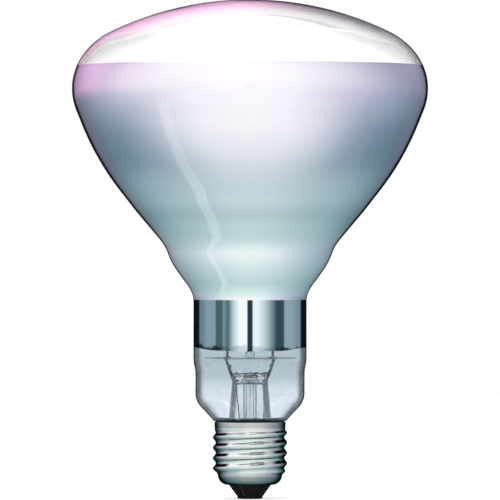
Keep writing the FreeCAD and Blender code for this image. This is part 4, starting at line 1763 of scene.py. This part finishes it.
    def build_eyelet(self, side: Side) -> None:
        """The rolled eyelet that holds the disc on one lead."""
        name = f"deflector_eyelet_{side.word}"
        low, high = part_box(name)
        bore = self.lead_radius + 0.01 * MM
        flange = self.lead_radius + self.eyelet_flange
        tube = bore + self.eyelet_wall
        thick = self.flange_thickness
        edge = 0.08 * MM
        corners = [
            (bore, (low.z + high.z) / 2, 0.0),
            (bore, high.z, 0.1 * MM),
            (flange, high.z, edge),
            (flange, high.z - thick, edge),
            (tube, high.z - thick, 0.0),
            (tube, low.z + thick, 0.0),
            (flange, low.z + thick, edge),
            (flange, low.z, edge),
            (bore, low.z, 0.1 * MM),
        ]
        mesh = self.shop.ring(corners, self.shop.finishes.nickel, 28, steps=3)
        mesh.transform(Matrix.Translation((side.value * self.lead_spread, 0, 0)))
        add_piece(f"eyelet_{side.word}", mesh, Slot.NICKEL_WIRE, name)


# The studio


@dataclass(frozen=True)
class Card:
    """An upright card of light beside the lamp, seen only in reflections.

    Attributes:
        start: the azimuth of its left edge in degrees: 0 is the front, positive to the right.
        end: the azimuth of its right edge.
        shade: its brightness and tint.
    """

    start: float
    end: float
    shade: Colour


def around(cards: Sequence[Card]) -> list[tuple[float, Colour]]:
    """The stops of a ramp once round the lamp. Between two cards the light blends."""
    stops = []
    for card in cards:
        for edge in dict.fromkeys((card.start, card.end)):
            stops.append(((edge / 180 + 1) / 2, card.shade))
    return stops


def toward(azimuth: float, elevation: float) -> Vector:
    """The direction at an azimuth and an elevation in degrees."""
    turn, rise = math.radians(azimuth), math.radians(elevation)
    return Vector((math.sin(turn) * math.cos(rise), -math.cos(turn) * math.cos(rise), math.sin(rise)))


@dataclass
class Surroundings(ShaderGraph):
    """What stands round the lamp: white for the eye, even for dull surfaces, cards for glossy ones.

    The light follows the direction alone. A rise is in degrees above the lamp's level, aside is
    the azimuth without its sign, and a tilt is how far a surface that mirrors a ray forward
    leans back.
    """

    tree: Any
    white: Colour = (1.0, 1.0, 1.0)
    dull: Colour = (0.62, 0.62, 0.63)
    shade: Colour = (0.010, 0.012, 0.015)
    flag: Colour = (0.010, 0.014, 0.014)
    drop_aside: Span = (80.0, 150.0)
    drop: float = 2.3
    dusk_rise: Span = (-60.0, -12.0)
    side_rise: Span = (-16.0, 3.0)
    card_tilt: Span = (25.0, 28.0)
    gap_tilt: Span = (26.0, 29.0)
    rear_aside: Span = (158.0, 164.0)
    rear_rise: Span = (0.0, 6.0)
    rear_middle: Span = (-0.02, 0.06)
    level_rise: Span = (3.0, 24.0)
    strip_head: Span = (-58.0, -3.0)
    strip_foot: Span = (-96.0, -71.0)
    strip_half_angle: float = 3.4
    strip_blur: float = 1.15
    strip_start: Span = (-76.0, -72.0)
    strip_end: Span = (14.0, 20.0)
    strip_off_level: Span = (20.0, 36.0)
    strip_shade: Colour = (2.3, 2.35, 2.4)

    def __post_init__(self) -> None:
        """Reads the direction of a ray that leaves the lamp."""
        self.way = self.node("ShaderNodeTexCoord").outputs["Generated"]
        self.x, y, self.z = self.parts(self.way)
        self.front = self.product(y, -1.0)
        half_turns = self.math("DIVIDE", self.math("ARCTAN2", self.x, self.front), math.pi)
        self.turn = self.math("MULTIPLY_ADD", half_turns, 0.5, 0.5)
        self.rise = self.math("DEGREES", self.math("ARCSINE", self.z))
        self.off_level = self.math("ABSOLUTE", self.rise)
        self.level = self.math("MULTIPLY_ADD", self.rise, 1 / 180, 0.5)

    def build(self) -> None:
        """Shows each kind of ray its own surroundings."""
        rays = self.node("ShaderNodeLightPath").outputs
        glossy = self.satin_light()
        glossy = self.blend(rays["Is Singular Ray"], glossy, self.sharp_light(glossy))
        colour = self.blend(rays["Is Glossy Ray"], self.dull, glossy)
        colour = self.blend(rays["Is Transmission Ray"], colour, self.seen_through())
        colour = self.blend(rays["Is Camera Ray"], colour, self.white)
        self.fill(self.tree.nodes["Background"], {"Color": colour})

    def satin_light(self) -> Any:
        """What a satin surface mirrors: the layers of light from below up to overhead."""
        aside = self.math("ABSOLUTE", self.math("MULTIPLY_ADD", self.turn, 360.0, -180.0))
        lowered = self.product(self.rise, self.span(aside, *self.drop_aside, 1.0, self.drop))
        light = self.low_light()
        light = self.blend(self.span(lowered, *self.dusk_rise), light, self.dusk_light())
        light = self.blend(self.span(lowered, *self.side_rise), light, self.side_light())
        ahead = self.math("ADD", self.front, 1.0)
        lean = self.math("DIVIDE", self.math("ARCTAN2", self.x, ahead), math.tau)
        lean = self.math("ADD", lean, 0.5)
        halfway = self.math("SQRT", self.math("MULTIPLY_ADD", self.front, 2.0, 2.0))
        tilt = self.math("DEGREES", self.math("ARCSINE", self.math("DIVIDE", self.z, halfway)))
        for edge, middle in ((self.card_tilt, self.white), (self.gap_tilt, self.shade)):
            light = self.blend(self.span(tilt, *edge), light, self.high_light(lean, middle))
        rear = self.product(self.span(aside, *self.rear_aside), self.span(self.rise, *self.rear_rise))
        return self.blend(rear, light, self.rear_light())

    def sharp_light(self, satin: Any) -> Any:
        """What a polished surface mirrors: the strip lamp too, and stripes at its own level."""
        level = self.span(self.off_level, *self.level_rise, 1.0, 0.0)
        return self.blend(level, self.strip(satin), self.level_light())

    def low_light(self) -> Any:
        """What the reflector mirrors from below: a bright front, blue-green and dark behind."""
        stops = [
            (0.0, self.shade),
            (0.015, self.shade),
            (0.04, (0.14, 0.21, 0.25)),
            (0.10, (0.14, 0.23, 0.27)),
            (0.16, (0.24, 0.36, 0.41)),
            (0.26, (0.28, 0.42, 0.48)),
            (0.38, (0.40, 0.53, 0.58)),
            (0.50, (0.42, 0.54, 0.58)),
            (0.62, (0.62, 0.72, 0.76)),
            (0.75, (0.89, 0.92, 0.94)),
            (0.88, (1.02, 1.02, 1.03)),
            (1.0, (1.10, 1.09, 1.10)),
        ]
        return self.ramp(self.math("MULTIPLY_ADD", self.front, 0.5, 0.5), stops)

    def side_light(self) -> Any:
        """What the rim mirrors from its own level: pink on the left, violet-grey on the right."""
        cards = [
            Card(-180, -168, self.shade),
            Card(-160, -150, (0.80, 0.50, 0.80)),
            Card(-138, -126, (0.92, 0.60, 0.90)),
            Card(-110, -110, (0.76, 0.60, 0.80)),
            Card(-92, -92, (0.90, 0.80, 0.92)),
            Card(-60, -60, (1.04, 1.01, 1.04)),
            Card(0, 0, (1.12, 1.10, 1.12)),
            Card(34, 34, (1.03, 1.01, 1.05)),
            Card(62, 62, (0.86, 0.83, 0.92)),
            Card(92, 92, (0.52, 0.54, 0.66)),
            Card(118, 118, (0.36, 0.37, 0.48)),
            Card(145, 158, (0.42, 0.43, 0.55)),
            Card(166, 180, self.shade),
        ]
        return self.ramp(self.turn, around(cards))

    def dusk_light(self) -> Any:
        """What the skirt mirrors from just below its level: violet-grey towards both sides."""
        cards = [
            Card(-180, -168, self.shade),
            Card(-158, -158, (0.27, 0.26, 0.36)),
            Card(-137, -137, (0.33, 0.34, 0.46)),
            Card(-121, -121, (0.43, 0.43, 0.55)),
            Card(-104, -104, (0.51, 0.52, 0.65)),
            Card(-76, -76, (0.70, 0.71, 0.83)),
            Card(-40, -40, (0.98, 0.97, 1.02)),
            Card(0, 0, (1.07, 1.05, 1.10)),
            Card(30, 30, (0.97, 0.96, 1.03)),
            Card(68, 68, (0.63, 0.61, 0.77)),
            Card(94, 94, (0.41, 0.44, 0.62)),
            Card(126, 126, (0.28, 0.31, 0.43)),
            Card(145, 158, (0.27, 0.31, 0.41)),
            Card(166, 180, self.shade),
        ]
        return self.ramp(self.turn, around(cards))

    def high_light(self, lean: Any, middle: Colour) -> Any:
        """What the cap's threads mirror from above: bright cards in front, flags at both sides.

        Args:
            lean: the turn of the surface that mirrors it forward, from 0 to 1 once round.
            middle: the card that stands nearly straight ahead.

        Returns:
            The socket with the light.
        """
        cards = [
            Card(-180, -44, self.flag),
            Card(-36, -3, (1.35, 1.35, 1.35)),
            Card(-1, 19, middle),
            Card(22, 34, (0.62, 0.64, 0.66)),
            Card(45, 180, self.flag),
        ]
        return self.ramp(lean, around(cards))

    def rear_light(self) -> Any:
        """What the face mirrors from behind: pink, violet to the right, and pale panels higher up."""

        def stops(shade: Colour, line: Colour) -> list[tuple[float, Colour]]:
            """A ramp's stops by rise: a shade, then two pale panels with lines between them."""
            pale = (2.6, 2.5, 2.6)
            rises = [(0, shade), (36, shade), (37, line), (38, line), (39, pale)]
            rises += [(43, pale), (43.6, line), (44.6, line), (45.2, pale)]
            return [(0.5 + degrees / 180, colour) for degrees, colour in rises]

        left = self.ramp(self.level, stops((0.95, 0.42, 0.80), (1.2, 1.0, 1.2)))
        right = self.ramp(self.level, stops((0.16, 0.12, 0.19), (0.02, 0.02, 0.03)))
        return self.blend(self.span(self.x, *self.rear_middle), left, right)

    def level_light(self) -> Any:
        """The narrow cards at the lamp's own level, which the bright neck mirrors as stripes."""
        black, shadow = (0.004, 0.008, 0.010), (0.035, 0.070, 0.092)
        cards = [
            Card(-180, -130, black),
            Card(-122, -112, (0.15, 0.25, 0.30)),
            Card(-98, -76, (0.24, 0.36, 0.41)),
            Card(-73, -59, (0.07, 0.125, 0.14)),
            Card(-57, -52, (0.18, 0.275, 0.296)),
            Card(-49, -44, (0.105, 0.185, 0.205)),
            Card(-35, -35, (0.47, 0.62, 0.65)),
            Card(-21, -6.5, (1.02, 1.04, 1.05)),
            Card(-4.5, 4.5, (0.02, 0.05, 0.065)),
            Card(6.5, 15, (0.9, 0.98, 1.0)),
            Card(30, 30, (0.55, 0.67, 0.70)),
            Card(45, 45, (0.20, 0.29, 0.32)),
            Card(56, 72, shadow),
            Card(76, 90, (0.28, 0.39, 0.44)),
            Card(120, 124, (0.18, 0.27, 0.32)),
            Card(129, 180, black),
        ]
        return self.ramp(self.turn, around(cards))

    def seen_through(self) -> Any:
        """What clear glass shows: white at its own level, and a soft box overhead."""
        haze, box = (1.22, 1.22, 1.22), (2.6, 2.6, 2.6)
        stops = [(0.0, self.white), (0.45, haze), (0.70, haze), (0.78, box), (1.0, box)]
        return self.ramp(self.level, stops)

    def strip(self, colour: Any) -> Any:
        """Adds the tall narrow strip lamp that leans on the left."""
        across = toward(*self.strip_head).cross(toward(*self.strip_foot)).normalized()
        dot = self.node("ShaderNodeVectorMath", {0: self.way, 1: across}, operation="DOT_PRODUCT")
        away = self.math("ABSOLUTE", dot.outputs["Value"])
        half = math.sin(math.radians(self.strip_half_angle))
        inside = self.span(away, half, half * self.strip_blur, 1.0, 0.0)
        left = self.math("LESS_THAN", self.x, 0.0)
        start = self.span(self.rise, *self.strip_start)
        end = self.span(self.rise, *self.strip_end, 1.0, 0.0)
        off_level = self.span(self.off_level, *self.strip_off_level)
        share = self.product(self.product(inside, left), self.product(start, end, off_level))
        return self.blend(share, colour, self.strip_shade)


@dataclass
class Studio:
    """The floor, the lamps, the surroundings and the camera."""

    camera_distance: float = 2.3
    view_width: float = 175.55 * MM
    sensor: float = 36.0
    view_height: float = 87.3 * MM
    floor_radius: float = 1.6
    floor_sides: int = 96
    aim_height: float = 80.0 * MM

    def build(self) -> None:
        """Sets the stage."""
        self.build_world()
        self.build_floor()
        self.build_lamps()
        self.build_camera()
        bpy.context.scene.view_settings.view_transform = "Standard"

    def build_world(self) -> None:
        """The world, which holds the surroundings."""
        world = bpy.data.worlds.new("studio")
        world.use_nodes = True
        bpy.context.scene.world = world
        Surroundings(world.node_tree).build()

    def build_floor(self) -> None:
        """A pale disc that keeps the lamp's shadow and reads white where it is open."""
        mesh = bpy.data.meshes.new("floor")
        step = math.tau / self.floor_sides
        ring = [spoke(step * i, self.floor_radius, 0.0) for i in range(self.floor_sides)]
        mesh.from_pydata(ring, [], [range(self.floor_sides)])
        floor = placed("floor", mesh)
        floor.visible_glossy = False
        finish = PaleFloor("pale_floor", (0.8, 0.8, 0.8), roughness=0.9, specular=0.0)
        mesh.materials.append(finish.material())

    def build_lamps(self) -> None:
        """Three soft lamps for the dull surfaces."""
        lamps = (
            ("key", (-0.9, -1.3, 1.2), 0.9, 9.0),
            ("fill", (1.3, -0.9, 0.7), 0.9, 4.0),
            ("top", (0.1, 0.3, 1.7), 1.2, 7.0),
        )
        aim = Vector((0, 0, self.aim_height))
        for name, place, size, power in lamps:
            data = bpy.data.lights.new(name, "AREA")
            data.size = size
            data.energy = power
            lamp = placed(name, data)
            lamp.location = place
            lamp.rotation_euler = (aim - Vector(place)).to_track_quat("-Z", "Y").to_euler()
            lamp.visible_glossy = False
            lamp.visible_transmission = False

    def build_camera(self) -> None:
        """The camera in front of the lamp, level with the reflector's foot."""
        data = bpy.data.cameras.new("camera")
        data.sensor_width = self.sensor
        data.lens = self.sensor * self.camera_distance / self.view_width
        camera = placed("camera", data)
        camera.location = (0.0, -self.camera_distance, self.view_height)
        camera.rotation_euler = (math.pi / 2, 0.0, 0.0)
        bpy.context.scene.camera = camera
def main() -> None:
    """Builds every piece and the studio."""
    logging.basicConfig(level=logging.INFO, format="%(message)s")
    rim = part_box("cap_shell")[1].z
    press_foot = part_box("stem_glass")[1].z - Stem.press_height
    shop = Shop(Finishes(seam_height=rim + 1.0 * MM, tube_height=press_foot))
    cap = Cap(shop)
    stem = Stem(shop)
    for part in (Bulb(shop, cap), stem, Mount(shop, stem), cap):
        part.build()
    Studio().build()


if __name__ == "__main__":
    main()
